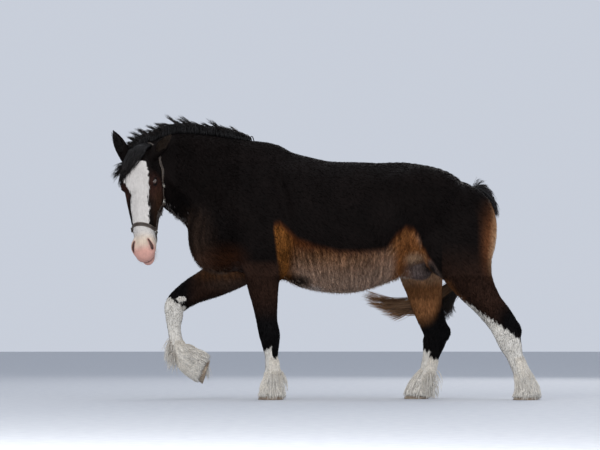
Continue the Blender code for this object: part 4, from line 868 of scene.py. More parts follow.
# Materials. Each is a tree of nodes on Blender's Principled shader.
class Tree:
    """Builds a material's nodes in few words."""

    def __init__(self, name, rough=0.5, **sockets):
        self.made = bpy.data.materials.new(name)
        self.made.use_nodes = True
        self.nodes = self.made.node_tree.nodes
        self.links = self.made.node_tree.links
        self.shader = self.nodes["Principled BSDF"]
        self.set("Roughness", rough)
        for key, value in sockets.items():
            self.set(key.replace("_", " "), value)
        self.place = self.add("ShaderNodeTexCoord").outputs["Object"]

    def set(self, socket, value):
        self.shader.inputs[socket].default_value = value

    def add(self, kind, inputs=None, **settings):
        node = self.nodes.new(kind)
        for key, value in settings.items():
            setattr(node, key, value)
        for key, value in (inputs or {}).items():
            if hasattr(value, "links") and hasattr(value, "is_output"):
                self.links.new(value, node.inputs[key])
            else:
                node.inputs[key].default_value = value
        return node

    def link(self, output, socket):
        self.links.new(output, self.shader.inputs[socket])

    def attribute(self, name, output="Fac"):
        node = self.add("ShaderNodeAttribute", attribute_name=name)
        return node.outputs[output]

    def mapped(self, scale, turn=(0, 0, 0), place=None):
        return self.add(
            "ShaderNodeMapping", {"Vector": place or self.place, "Scale": scale, "Rotation": turn}
        ).outputs[0]

    def noise(self, scale, detail=2.0, place=None, rough=0.5, output="Fac"):
        node = self.add(
            "ShaderNodeTexNoise",
            {"Vector": place or self.place, "Scale": scale, "Detail": detail, "Roughness": rough},
        )
        return node.outputs[output]

    def math(self, operation, a, b=0.0, c=None):
        inputs = {0: a, 1: b} if c is None else {0: a, 1: b, 2: c}
        return self.add("ShaderNodeMath", inputs, operation=operation).outputs[0]

    def range(self, value, low, high, to_low=0.0, to_high=1.0, smooth=True):
        return self.add(
            "ShaderNodeMapRange",
            {"Value": value, "From Min": low, "From Max": high, "To Min": to_low, "To Max": to_high},
            interpolation_type="SMOOTHSTEP" if smooth else "LINEAR",
        ).outputs[0]

    def mix(self, factor, a, b, blend="MIX"):
        node = self.add("ShaderNodeMix", data_type="RGBA", blend_type=blend)
        for value, socket in ((factor, node.inputs[0]), (a, node.inputs[6]), (b, node.inputs[7])):
            if hasattr(value, "is_output"):
                self.links.new(value, socket)
            else:
                socket.default_value = value if isinstance(value, float) else (*value, 1.0)
        return node.outputs[2]

    def scaled(self, colour, value):
        return self.add("ShaderNodeVectorMath", {0: colour, 3: value}, operation="SCALE").outputs[0]

    def bump(self, height, strength, distance, normal=None):
        inputs = {"Height": height, "Strength": strength, "Distance": distance}
        if normal:
            inputs["Normal"] = normal
        return self.add("ShaderNodeBump", inputs).outputs[0]


# Hair lies back and down over the body, and down on the legs and the face.
COMB_BODY = (0.80, 0.0, -0.60)
COMB_LEG = (0.05, 0.0, -1.0)


def streaks(tree, scale, detail=3.0):
    """Noise drawn out along the lie of the coat: one pattern for the body and one for the legs and head."""
    lean = math.atan2(-COMB_BODY[2], COMB_BODY[0])
    turned_place = tree.mapped((1, 1, 1), (0, -lean, 0))
    body = tree.noise(scale, detail, tree.mapped((0.10, 1, 1), place=turned_place))
    leg = tree.noise(scale, detail, tree.mapped((1, 1, 0.10)))
    return tree.add(
        "ShaderNodeMix", {0: tree.attribute("hangs"), 2: body, 3: leg}, data_type="FLOAT"
    ).outputs[0]


def coat_colour(tree):
    """Base colour from the markings, with ragged edges and hair by hair variation. Also the fine streaks."""
    fine = streaks(tree, 210)
    patch = tree.noise(26, 3)
    jag = streaks(tree, 75, 2)
    edge = tree.math("ADD", tree.attribute("white"), tree.math("MULTIPLY_ADD", patch, 0.026, -0.013))
    edge = tree.math("ADD", edge, tree.math("MULTIPLY_ADD", jag, 0.050, -0.025))
    edge = tree.math("ADD", edge, tree.math("MULTIPLY_ADD", fine, 0.034, -0.017))
    mask = tree.range(edge, -0.005, 0.005)
    dark = tree.scaled(tree.attribute("coat", "Color"), tree.range(fine, 0.25, 0.75, 0.62, 1.45))
    dark = tree.scaled(dark, tree.range(tree.noise(5, 4), 0.3, 0.7, 0.8, 1.25))
    light = tree.scaled(tree.attribute("pale", "Color"), tree.range(fine, 0.25, 0.75, 0.90, 1.06))
    light = tree.scaled(light, tree.range(tree.noise(9, 3), 0.3, 0.7, 0.90, 1.04))
    return tree.mix(mask, dark, light), fine


def skin_material():
    tree = Tree("horse_coat", 0.60, Specular_IOR_Level=0.035)
    colour, fine = coat_colour(tree)
    bare = tree.attribute("bare")
    mottle = tree.range(tree.noise(38, 2), 0.45, 0.62)
    bruised = tree.math("MULTIPLY", bare, tree.math("MULTIPLY", mottle, 0.22))
    colour = tree.mix(bruised, colour, (0.36, 0.20, 0.17))
    tree.link(colour, "Base Color")
    tree.link(tree.range(bare, 0.2, 1.0, 0.035, 0.30), "Specular IOR Level")
    coarse = streaks(tree, 60, 2)
    height = tree.math("ADD", tree.math("MULTIPLY", coarse, 1.3), fine)
    pores = tree.noise(420, 2)
    height = tree.math("ADD", height, tree.math("MULTIPLY", tree.math("MULTIPLY", pores, bare), 1.5))
    tree.link(tree.bump(height, 0.55, 0.0035), "Normal")
    tree.link(tree.range(fine, 0.2, 0.8, 0.50, 0.72), "Roughness")
    return tree.made


def tuft_material():
    tree = Tree("coat_tufts", 0.62, Specular_IOR_Level=0.035)
    colour, fine = coat_colour(tree)
    colour = tree.scaled(colour, tree.attribute("shade"))
    tree.link(colour, "Base Color")
    tree.link(tree.bump(fine, 0.4, 0.002), "Normal")
    return tree.made


def hair_material(name, rough, streak=160, shine=0.22):
    """Long hair: the lock's own colour, streaked along it and varied lock by lock."""
    tree = Tree(name, rough, Specular_IOR_Level=shine)
    fine = tree.noise(streak, 3)
    colour = tree.scaled(tree.attribute("coat", "Color"), tree.attribute("shade"))
    colour = tree.scaled(colour, tree.range(fine, 0.3, 0.7, 0.78, 1.22))
    tree.link(colour, "Base Color")
    tree.link(tree.bump(fine, 0.35, 0.0015), "Normal")
    return tree.made


# Meshes.
def keep(made, slot, *nodes):
    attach(made, "root")
    if nodes:
        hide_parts(*nodes)
    return made


def placed(name, mesh, material):
    """An object of its own for a mesh."""
    mesh.materials.append(material)
    mesh.shade_smooth()
    made = bpy.data.objects.new(name, mesh)
    bpy.context.collection.objects.link(made)
    return made


def add_mesh(name, points, faces, material):
    mesh = bpy.data.meshes.new(name)
    mesh.from_pydata([tuple(p) for p in np.asarray(points) + MOVE], [], faces)
    return placed(name, mesh, material)


def add_triangles(name, points, triangles, material):
    """A mesh from arrays, which is quick for many small locks."""
    mesh = bpy.data.meshes.new(name)
    mesh.vertices.add(len(points))
    mesh.vertices.foreach_set("co", (points + MOVE).astype(np.float32).ravel())
    mesh.loops.add(3 * len(triangles))
    mesh.loops.foreach_set("vertex_index", triangles.astype(np.int32).ravel())
    mesh.polygons.add(len(triangles))
    mesh.polygons.foreach_set("loop_start", np.arange(0, 3 * len(triangles), 3, dtype=np.int32))
    mesh.update(calc_edges=True)
    return placed(name, mesh, material)


def strip(one, two, around):
    """Quads between two rings of points, by the number of each ring's first point."""
    after = [(j, (j + 1) % around) for j in range(around)]
    return [(one + j, one + k, two + k, two + j) for j, k in after]


def clean(mesh, near):
    """Vertices that meet are joined, and every face is turned outwards."""
    work = bmesh.new()
    work.from_mesh(mesh)
    bmesh.ops.remove_doubles(work, verts=work.verts, dist=near)
    bmesh.ops.recalc_face_normals(work, faces=work.faces)
    work.to_mesh(mesh)
    work.free()
    mesh.shade_smooth()


def give(mesh, name, values):
    """Keeps a number or a colour at every vertex, for the material."""
    values = np.asarray(values, np.float32)
    if values.ndim == 1:
        mesh.attributes.new(name, "FLOAT", "POINT").data.foreach_set("value", values)
    else:
        values = np.concatenate([values, np.ones((len(values), 1), np.float32)], axis=1)
        mesh.attributes.new(name, "FLOAT_COLOR", "POINT").data.foreach_set("color", values.ravel())


def hangs_at(p):
    """1 where the coat hangs straight down, on legs, head and belly, and 0 where it lies back."""
    leg = 1 - step_up(p[:, 2], 0.72, 0.92)
    return np.maximum(np.maximum(leg, warm(p)), step_up(past_neck(p), 0.03, 0.12))


def give_coat(mesh, p, n):
    colour, white, pale, bare = markings(p, n)
    give(mesh, "coat", colour)
    give(mesh, "white", white)
    give(mesh, "pale", pale)
    give(mesh, "bare", bare)
    give(mesh, "hangs", hangs_at(p))


def lie(p, n):
    """The way the coat lies at each place: back and down the body, down the legs, down the face."""
    hang = step_up(0.95 - p[:, 2], 0.0, 0.22)[:, None]
    way = (1 - hang) * np.array(COMB_BODY) + hang * np.array(COMB_LEG)
    on_neck = step_up(-p[:, 0], 0.45, 0.75)[:, None] * step_up(p[:, 2], 0.95, 1.10)[:, None]
    way = way * (1 - on_neck) + np.array((0.45, 0.10, -0.88)) * on_neck
    belly = warm(p)[:, None]
    way = way * (1 - belly) + np.array((0.12, 0.0, -0.99)) * belly
    flank = spot(p, (0.66, 0, 1.10), (0.16, ENDLESS, 0.22), 0.6)[:, None]
    way = way * (1 - flank) + np.array((-0.35, 0.0, -0.90)) * flank
    face = step_up(past_neck(p), 0.03, 0.12)[:, None]
    left = head_place(p)[2]
    face_way = DOWN - 0.35 * OUT + 0.25 * np.sign(left)[:, None] * LEFT
    way = way * (1 - face) + face_way * face
    way = way - (way * n).sum(1, keepdims=True) * n
    return unit(way + 1e-6)


# The skin.
def open_loop(work, place, way):
    """The rim that a flat cut left, as one closed row of vertices in order."""
    def cut(edge):
        return all(abs((np.array(v.co) - place) @ way) < CUT_NEAR for v in edge.verts)

    rim = [e for e in work.edges if e.is_boundary and cut(e)]
    beside = {}
    for edge in rim:
        a, b = edge.verts
        beside.setdefault(a, []).append(b)
        beside.setdefault(b, []).append(a)
    start = max(beside, key=lambda v: v.co.z)
    row, last = [start], None
    while True:
        here = row[-1]
        ahead = [v for v in beside[here] if v is not last]
        last = here
        if ahead[0] is start or (len(row) > 2 and start in ahead):
            break
        row.append(ahead[0])
    return row


def cut_mesh(points, faces, place, way, outer):
    """Half of a mesh, on one side of a plane, and the rim of the cut."""
    work = bmesh.new()
    verts = [work.verts.new(p) for p in points]
    for face in faces:
        work.faces.new([verts[i] for i in face])
    bmesh.ops.bisect_plane(
        work, geom=list(work.verts) + list(work.edges) + list(work.faces), dist=1e-6,
        plane_co=place, plane_no=way, clear_outer=outer, clear_inner=not outer,
    )
    loose = [v for v in work.verts if not v.link_faces]
    bmesh.ops.delete(work, geom=loose, context="VERTS")
    row = open_loop(work, place, way)
    work.verts.index_update()
    rim = [v.index for v in row]
    points = np.array([v.co for v in work.verts])
    faces = [tuple(v.index for v in f.verts) for f in work.faces]
    work.free()
    return points, faces, rim


def same_way(points, rim, way):
    """The rim turned so that it runs anticlockwise about the way."""
    row = points[rim]
    turn = np.cross(row - row.mean(0), np.roll(row, -1, axis=0) - row.mean(0)).sum(0) @ way
    return rim if turn > 0 else [rim[0]] + rim[:0:-1]


def zipped(points, one, two):
    """Triangles between two closed rims that start side by side and run the same way."""
    faces, i, j = [], 0, 0
    while i < len(one) or j < len(two):
        a, b = one[i % len(one)], two[j % len(two)]
        c, d = one[(i + 1) % len(one)], two[(j + 1) % len(two)]
        shorter = np.linalg.norm(points[c] - points[b]) < np.linalg.norm(points[a] - points[d])
        if j >= len(two) or (i < len(one) and shorter):
            faces.append((a, c, b))
            i += 1
        else:
            faces.append((a, d, b))
            j += 1
    return faces


def read_points(mesh):
    """Where a mesh's vertices are, before MOVE, and the way straight out at each."""
    p, n = np.empty((2, len(mesh.vertices) * 3), np.float32)
    mesh.vertices.foreach_get("co", p)
    mesh.vertex_normals.foreach_get("vector", n)
    return p.reshape(-1, 3).astype(float) - MOVE, n.reshape(-1, 3).astype(float)


def build_skin():
    """One closed skin for body, legs, neck, head and ears, finer on the head."""
    place, way = NECK_CUT
    points, faces = surface(skin_field, BODY_BOX, BODY_CELL)
    body, body_faces, body_rim = cut_mesh(points, faces, place, way, True)
    ahead = place + way * 0.004
    points, faces = surface(head_field, HEAD_BOX, HEAD_CELL)
    skull, skull_faces, skull_rim = cut_mesh(points, faces, ahead, way, False)
    body_rim = same_way(body, body_rim, way)
    skull_rim = [i + len(body) for i in same_way(skull, skull_rim, way)]
    points = np.concatenate([body, skull])
    start = int(np.argmin(np.linalg.norm(points[skull_rim] - points[body_rim[0]], axis=1)))
    skull_rim = skull_rim[start:] + skull_rim[:start]
    faces = body_faces + [tuple(i + len(body) for i in face) for face in skull_faces]
    faces += zipped(points, body_rim, skull_rim)
    made = add_mesh("horse_skin", points, faces, skin_material())
    clean(made.data, MERGE)
    p, n = read_points(made.data)
    give_coat(made.data, p, n)
    other = ("eye", "hoof", "halter", "tail")
    keep(made, "coat_dark", *[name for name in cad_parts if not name.startswith(other)])
    return made, p, n


# Tufts and locks.
def sweep(paths, face, wide, thick):
    """Closed three-sided locks along many paths at once. Points are count x rows x 3.

    Face, wide and thick are given once for all the locks, or for each.
    """
    count, stations = paths.shape[:2]
    along = unit(np.gradient(paths, axis=1) + 1e-9)
    across = unit(np.cross(along, np.asarray(face, float).reshape(-1, 1, 3)))
    out = np.cross(across, along)
    t = np.linspace(0, 1, stations)[None, :-1, None]
    wide, thick = (np.broadcast_to(size, count)[:, None, None] for size in (wide, thick))
    w = wide * (0.60 + 1.1 * t - 1.45 * t**2) * 0.5
    h = thick * (1 - 0.7 * t)
    a, o, m = across[:, :-1], out[:, :-1], paths[:, :-1]
    foot = m - 0.35 * h * o
    ring = np.stack([foot - w * a, foot + w * a, m + 0.1 * w * a + 0.65 * h * o], axis=2)
    points = np.concatenate([ring.reshape(count, -1, 3), paths[:, -1:]], axis=1)
    one = [(2, 1, 0)]
    rings = stations - 1
    for i in range(rings - 1):
        for j in range(3):
            a, b = 3 * i + j, 3 * i + (j + 1) % 3
            one += [(a, b, b + 3), (a, b + 3, a + 3)]
    one += [(3 * (rings - 1) + j, 3 * (rings - 1) + (j + 1) % 3, 3 * rings) for j in range(3)]
    one = np.array(one)
    rows = 3 * rings + 1
    triangles = (np.arange(count)[:, None, None] * rows + one[None]).reshape(-1, 3)
    share = np.concatenate([np.repeat(np.arange(rings) / rings, 3), [1.0]])
    return points, triangles, share


def add_locks(
    name, paths, face, wide, thick, material, slot, sheet, colours, shade, marks=None, nodes=(),
):
    """One piece of many locks, with its colours, and its place on the skin's unwrap."""
    points, triangles, share = sweep(paths, face, wide, thick)
    count, rows = points.shape[:2]
    made = add_triangles(name, points.reshape(-1, 3), triangles, material)
    mesh = made.data
    if marks is not None:
        for key, values in zip(("coat", "white", "pale"), marks):
            give(mesh, key, np.repeat(values, rows, axis=0))
        give(mesh, "hangs", np.repeat(hangs_at(paths[:, 0]), rows))
    else:
        root, tip = (np.broadcast_to(colour, (count, 3))[:, None] for colour in colours)
        blend = share[None, :, None]
        give(mesh, "coat", (root * (1 - blend) + tip * blend).reshape(-1, 3))
    give(mesh, "shade", np.repeat(shade, rows))
    corner = np.tile(np.array([-1.0, 1.0, 0.0]), rows)[:rows] * 0.0012
    corner[-1] = 0.0
    u = sheet[:, None, 0] + corner[None]
    v = sheet[:, None, 1] + 0.003 * (share[None] - 0.5)
    uv = np.stack([u, v], axis=2).reshape(-1, 2)[triangles.ravel()]
    mesh.uv_layers.new(name="OFBake").data.foreach_set("uv", uv.astype(np.float32).ravel())
    keep(made, slot, *nodes)
    return made


def on_sheet(along, across):
    """Places on a piece's own sheet from two shares of it, clear of its edges."""
    return np.stack([0.02 + 0.96 * along, across], axis=1)


def unwrap(p, at, along, up):
    """Places on an unwrap of the skin: the angle round an axis, and the way along it."""
    along = unit(along)
    up = unit(np.array(up, float) - np.dot(up, along) * along)
    side = np.cross(along, up)
    q = p - np.array(at, float)
    far = q @ along
    turn = np.arctan2(q @ side, q @ up) / (2 * math.pi) + 0.5
    far = (far - far.min()) / max(far.max() - far.min(), 1e-6)
    return 0.01 + 0.98 * np.stack([turn, far], axis=1)


class Skin:
    """The skin's triangles, from which roots are drawn at random, more where the weight is higher."""

    def __init__(self, made, p, n):
        mesh = made.data
        mesh.calc_loop_triangles()
        rows = np.empty(len(mesh.loop_triangles) * 3, np.int32)
        mesh.loop_triangles.foreach_get("vertices", rows)
        self.rows = rows.reshape(-1, 3)
        self.p, self.n = p, n
        a, b, c = (p[self.rows[:, i]] for i in range(3))
        self.area = np.linalg.norm(np.cross(b - a, c - a), axis=1) / 2
        self.middle = (a + b + c) / 3

    def roots(self, count, weight, seed):
        draw = np.random.default_rng(seed)
        share = self.area * weight
        picked = draw.choice(len(share), size=int(count), p=share / share.sum())
        u, v = draw.random((2, len(picked)))
        over = u + v > 1
        u[over], v[over] = 1 - u[over], 1 - v[over]
        parts = self.rows[picked]
        mix = np.stack([1 - u - v, u, v], axis=1)[:, :, None]
        return (self.p[parts] * mix).sum(1), unit((self.n[parts] * mix).sum(1)), draw


# Short coat, by region: its axis for the unwrap, how many tufts, and how long and wide they are.
REGIONS = {
    "trunk": ((0.3, 0, 1.20), (1, 0, 0), (0, 0, 1), 47000, 0.024, 0.0048),
    "neck": ((-0.6, -0.02, 1.40), (-0.85, -0.2, 0.25), (0, 0, 1), 24000, 0.022, 0.0044),
    "head": ((-1.05, -0.40, 1.30), (0.06, -0.31, -0.95), (-0.3, -0.95, 0), 22000, 0.011, 0.0026),
    "fore_left": ((-0.23, -0.16, 0.5), (0, 0, -1), (-1, 0, 0), 14000, 0.020, 0.0036),
    "fore_right": ((-0.70, 0.19, 0.6), (-0.4, 0, -0.6), (-1, 0, 0), 15000, 0.020, 0.0036),
    "hind_left": ((1.25, -0.19, 0.6), (0.4, 0, -0.9), (-1, 0, 0), 18000, 0.021, 0.0038),
    "hind_right": ((0.87, 0.17, 0.6), (0, 0, -1), (-1, 0, 0), 18000, 0.021, 0.0038),
}


def region_of(p):
    """Which region each place belongs to, by number in REGIONS."""
    x, y, z = p.T
    names = list(REGIONS)
    found = np.full(len(p), names.index("trunk"))
    found[(x < -0.42) & (z > 1.0)] = names.index("neck")
    low = z < 0.84
    found[low & (y < 0) & (x < 0.05)] = names.index("fore_left")
    found[(z < 0.95) & (y > 0.02) & (x < -0.36)] = names.index("fore_right")
    found[low & (y < 0) & (x > 0.85)] = names.index("hind_left")
    found[low & (y >= 0) & (x > 0.60)] = names.index("hind_right")
    found[past_neck(p) > 0.06] = names.index("head")
    return found


def build_coat(skin):
    """Short tufts that lie along the body, over every side of it."""
    material = tuft_material()
    group = region_of(skin.middle)
    down = head_place(skin.middle)[0]
    gaps = [np.linalg.norm(skin.middle - eye_frame(s)[0], axis=1) for s in (1, -1)]
    clear = step_up(np.minimum(*gaps), 0.030, 0.045)
    hollow = 1 - step_up(down, 0.60, 0.66) * step_up(past_neck(skin.middle), 0.05, 0.1)
    lit = 1 + 1.6 * warm(skin.middle)
    for number, (name, (at, along, up, count, long, wide)) in enumerate(REGIONS.items()):
        weight = (group == number) * clear * hollow * lit + 1e-12
        p, n, draw = skin.roots(count * SHARE, weight, SEEDS["coat"] + number)
        way = lie(p, n)
        side = np.cross(n, way)
        way = unit(way + side * draw.normal(0, 0.16, len(p))[:, None])
        size = long * draw.uniform(0.7, 1.3, len(p))
        rise = draw.uniform(0.05, 0.20, len(p))[:, None]
        under = step_up(-n[:, 2], 0.1, 0.7) * (p[:, 2] > 0.5) * (p[:, 2] < 1.3)
        breast = spot(p, (-0.68, 0, 1.03), (0.13, 0.30, 0.18), 0.6)
        thin = warm(p)
        size = size * (1 + 0.7 * under + 0.40 * thin + 0.7 * breast)
        tip = p + (way + n * (rise + 0.15 * breast[:, None])) * size[:, None]
        paths = np.stack([p - n * ROOT_IN, tip], axis=1)
        shade = draw.uniform(-1, 1, len(p)) * np.maximum(thin, breast)
        shade = draw.uniform(0.8, 1.25, len(p)) * np.exp2(0.65 * shade)
        add_locks("coat_" + name, paths, n, wide * draw.uniform(0.7, 1.3, len(p)), 0.0016, material,
                  "coat_dark", unwrap(p, at, along, up), None, shade, markings(p, n))


# Long hair.
def stepped(root, steps):
    """Control points of many locks: each root, then the root and each step."""
    return np.stack([root] + [root + np.stack(np.broadcast_arrays(*step), axis=1) for step in steps], axis=1)


def black_tips(count, draw, brown=0.2):
    """The colours of black locks, root and tip: some tips are a little brown."""
    dark = np.tile(np.array(BLACK), (count, 1))
    return dark, paint(dark, (draw.random(count) ** 2 * brown, (0.045, 0.026, 0.018)))


def hairs(name, root, ends, draw, wide, material, slot, colours, face, steps=5):
    """Single hairs or fine locks, each with a small sag. Ends are offsets from the roots."""
    count = len(root)
    start = on_skin(root, -0.002)
    sag = np.linalg.norm(ends, axis=1, keepdims=True) * np.array((0, 0, -0.10))
    control = np.stack(
        [start, start + 0.4 * ends - sag, start + 0.75 * ends - 0.6 * sag, start + ends], axis=1
    )
    control[:, 1:] = kept_above(control[:, 1:], 0.001)
    sheet = on_sheet(draw.random(count), 0.02 + 0.96 * draw.random(count))
    add_locks(name, bend(control, steps), face, wide, wide * 0.6, material, slot, sheet, colours,
              draw.uniform(0.8, 1.25, count))


def strand_fan(name, hair, draw, count, root, way, tips, colours, wide):
    """A spray of separate curved strands: all start about one place and end about a row of places."""
    t = draw.random(count)
    ends = along_rows(np.array(tips, float), t * (len(tips) - 1)) + draw.normal(0, 0.009, (count, 3))
    start = np.array(root) + draw.normal(0, 0.012, (count, 3)) * (1, 1, 0.5)
    run = ends - start
    control = np.stack([start, start + 0.35 * run + way, start + 0.72 * run + way, ends], axis=1)
    sheet = on_sheet(t, 0.02 + 0.05 * draw.random(count))
    add_locks(name, bend(control, 7), (0, -1, 0.2), draw.uniform(*wide, count), 0.0026, hair, "hair_black",
              sheet, colours, draw.uniform(0.7, 1.4, count))


# The mane along the crest, from the withers to the poll: x, y, z, then its reach up, down and sideways.
MANE_PATH = [
    (-0.35, 0.000, 1.745, 0.035, 0.05, 0.016),
    (-0.47, 0.000, 1.765, 0.074, 0.06, 0.024),
    (-0.64, -0.020, 1.785, 0.082, 0.07, 0.028),
    (-0.78, -0.060, 1.790, 0.082, 0.07, 0.030),
    (-0.90, -0.110, 1.775, 0.072, 0.07, 0.030),
    (-1.00, -0.160, 1.735, 0.066, 0.06, 0.030),
    (-1.065, -0.220, 1.695, 0.060, 0.06, 0.034),
    (-1.130, -0.255, 1.655, 0.045, 0.05, 0.034),
]


def build_mane():
    """Black hair over the crest that falls to the right, with loose tips that stand up and lean forwards."""
    draw = np.random.default_rng(SEEDS["mane"])
    rows = smooth_path(MANE_PATH, 12)
    count = int(2300 * SHARE)
    t = draw.random(count)
    row = along_rows(rows, t * (len(rows) - 1))
    crest = row[:, :3].copy()
    crest[:, 2] -= 0.012
    aside = [draw.normal(0, 0.006, count), draw.uniform(-0.026, 0.024, count), np.zeros(count)]
    root = on_skin(crest + np.stack(aside, axis=1), -0.004)
    long = draw.uniform(0.75, 1.25, count)
    lean = draw.normal(-0.018, 0.022, count)
    tall = row[:, 3] * draw.uniform(0.50, 1.05, count)
    steps = [
        (0.2 * lean, 0.006 + 0.10 * tall, 0.62 * tall + 0.010),
        (0.7 * lean, 0.046, 0.80 * tall + 0.004),
        (1.3 * lean, 0.105, -0.065 * long),
        (1.9 * lean, 0.140, -0.200 * long),
        (2.3 * lean, 0.150, -0.320 * long),
    ]
    control = stepped(root, steps)
    control[:, 3:] = on_skin(control[:, 3:], draw.uniform(0.004, 0.030, (count, 3)))
    control[:, 1:3] = kept_above(control[:, 1:3], 0.006)
    hair = hair_material("mane_hair", 0.42)
    sheet = on_sheet(t, 0.3 + 0.4 * draw.random(count))
    add_locks("mane", bend(control, 9), (0.1, 1.0, 0.5), draw.uniform(0.005, 0.010, count), 0.004,
              hair, "hair_black", sheet, black_tips(count, draw), draw.uniform(0.7, 1.5, count))
    build_mane_tips(hair, rows, draw)
    return hair


def build_mane_tips(hair, rows, draw):
    """Loose tips over the crest: fine spikes in clumps with gaps, and low single hairs between them."""
    count = int(1500 * SHARE)
    clumps = 30
    home = np.clip((np.arange(clumps) + draw.uniform(0.1, 0.9, clumps)) / clumps, 0.02, 0.97)
    which = draw.integers(0, clumps, count)
    single = draw.random(count) > 0.72
    t = np.clip(home[which] + draw.normal(0, 0.0030, count), 0, 1)
    t = np.where(single, draw.random(count), t)
    row = along_rows(rows, t * (len(rows) - 1))
    aside = [draw.normal(0, 0.003, count), draw.uniform(-0.012, 0.012, count), 0 * t - 0.01]
    root = on_skin(row[:, :3] + np.stack(aside, axis=1), -0.004)
    height = draw.uniform(0.35, 1.0, clumps)[which] * np.interp(t, (0, 0.3, 0.7, 1), (0.7, 1.0, 0.9, 0.5))
    height = np.where(single, 0.28, height) * draw.uniform(0.8, 1.1, count)
    reach = np.where(single, 0.5, draw.uniform(0.6, 1.25, clumps)[which]) * draw.uniform(0.7, 1.1, count)
    aside = draw.normal(0, 0.012, clumps)[which]
    top = 0.62 * row[:, 3]
    steps = [
        (0.012, 0.004, 0.7 * top + 0.008),
        (0.002 - 0.028 * reach, 0.006 + 0.5 * aside, top + 0.034 * height + 0.006),
        (-0.088 * reach, 0.008 + aside, top + 0.088 * height + 0.002),
    ]
    control = stepped(root, steps)
    control[:, 2:] += draw.normal(0, 0.0022, (count, 2, 3))
    sheet = on_sheet(t, 0.75 + 0.2 * draw.random(count))
    add_locks("mane_tips", bend(control, 6), (0, -1.0, 0.2), draw.uniform(0.0018, 0.0038, count), 0.0024,
              hair, "hair_black", sheet, black_tips(count, draw, 0.4), draw.uniform(0.7, 1.5, count))


def build_forelock(hair):
    """Hair from the poll and the ears' bases, swept forwards and over the right of the forehead."""
    draw = np.random.default_rng(SEEDS["forelock"])
    count = int(950 * SHARE)
    t = draw.random(count)
    back = draw.random(count) ** 1.3
    left = 0.075 - 0.150 * t
    long = draw.uniform(0.55, 1.15, count) * (0.75 + 0.5 * t)
    zero = np.zeros(count)
    jitter = draw.normal(0, 0.009, (4, count))
    sweep_right = 0.035 + 0.045 * draw.random(count)
    control = np.stack([
        head(0.010 - 0.085 * back, -0.012 - 0.060 * back, left),
        head(0.010 - 0.020 * back, 0.050 - 0.020 * back, left - 0.15 * sweep_right + 0.5 * jitter[0]),
        head(0.060 * long + 0.010, 0.080 + zero, left * 0.85 - 0.50 * sweep_right + jitter[1]),
        head(0.125 * long + 0.010, 0.082 + zero, left * 0.72 - 0.95 * sweep_right + jitter[2]),
        head(0.185 * long + 0.010, 0.078 + zero, left * 0.60 - 1.35 * sweep_right + 1.3 * jitter[3]),
    ], axis=1)
    rise = draw.random((4, count))
    lifts = np.stack([zero - 0.004, 0.008 + 0.020 * rise[0], 0.006 + 0.018 * rise[1],
                      0.004 + 0.014 * rise[2], 0.004 + 0.016 * rise[3]], axis=1)
    control = on_skin(control, lifts)
    paths = bend(control, 8)
    sheet = on_sheet(t, 0.02 + 0.2 * draw.random(count))
    add_locks("forelock", paths, OUT - 0.3 * LEFT, draw.uniform(0.004, 0.009, count), 0.003,
              hair, "hair_black", sheet, black_tips(count, draw), draw.uniform(0.7, 1.5, count))
    # Loose ends that stand away from the right of the forehead.
    count = int(170 * SHARE)
    t = draw.random(count)
    start = on_skin(head(0.060 + 0.110 * t, 0.060 + 0 * t, -0.075 - 0.015 * t), 0.006)
    far = draw.uniform(0.5, 1.15, count)[:, None]
    fan = draw.normal(0, 0.007, (count, 3))
    away = np.array((-0.062, -0.012, -0.030))
    control = np.stack([
        start, start + 0.35 * away * far + 0.4 * fan + (0, 0, 0.006), start + 0.72 * away * far + fan,
        start + away * far + 1.6 * fan - (0, 0, 0.012),
    ], axis=1)
    control[:, 1:] = kept_above(control[:, 1:], 0.004)
    sheet = on_sheet(t, 0.25 + 0.03 * draw.random(count))
    add_locks("forelock_ends", bend(control, 6), (0.0, -1.0, 0.3), draw.uniform(0.002, 0.0042, count), 0.002,
              hair, "hair_black", sheet, black_tips(count, draw), draw.uniform(0.8, 1.5, count))


# The tail's middle line from the dock, round the right quarter: x, y, z, then its reach out, in and across.
TAIL_PATH = [
    (1.140, 0.000, 1.425, 0.028, 0.028, 0.032),
    (1.225, 0.006, 1.420, 0.030, 0.028, 0.034),
    (1.300, 0.028, 1.345, 0.034, 0.028, 0.040),
    (1.302, 0.100, 1.235, 0.032, 0.028, 0.046),
    (1.272, 0.172, 1.120, 0.030, 0.028, 0.050),
    (1.232, 0.238, 1.000, 0.028, 0.028, 0.052),
    (1.165, 0.298, 0.865, 0.026, 0.026, 0.052),
    (1.070, 0.338, 0.752, 0.024, 0.024, 0.054),
    (0.945, 0.354, 0.672, 0.020, 0.020, 0.056),
    (0.800, 0.358, 0.640, 0.015, 0.015, 0.052),
    (0.670, 0.354, 0.640, 0.008, 0.008, 0.038),
    (0.540, 0.350, 0.668, 0.004, 0.004, 0.014),
]
TAIL_LIMIT = 1.345   # no lock of the tail stands further back than this
DOCK_IN, DOCK_CELL = 0.010, 0.007   # how far the dock lies inside the tail, and how fine it is
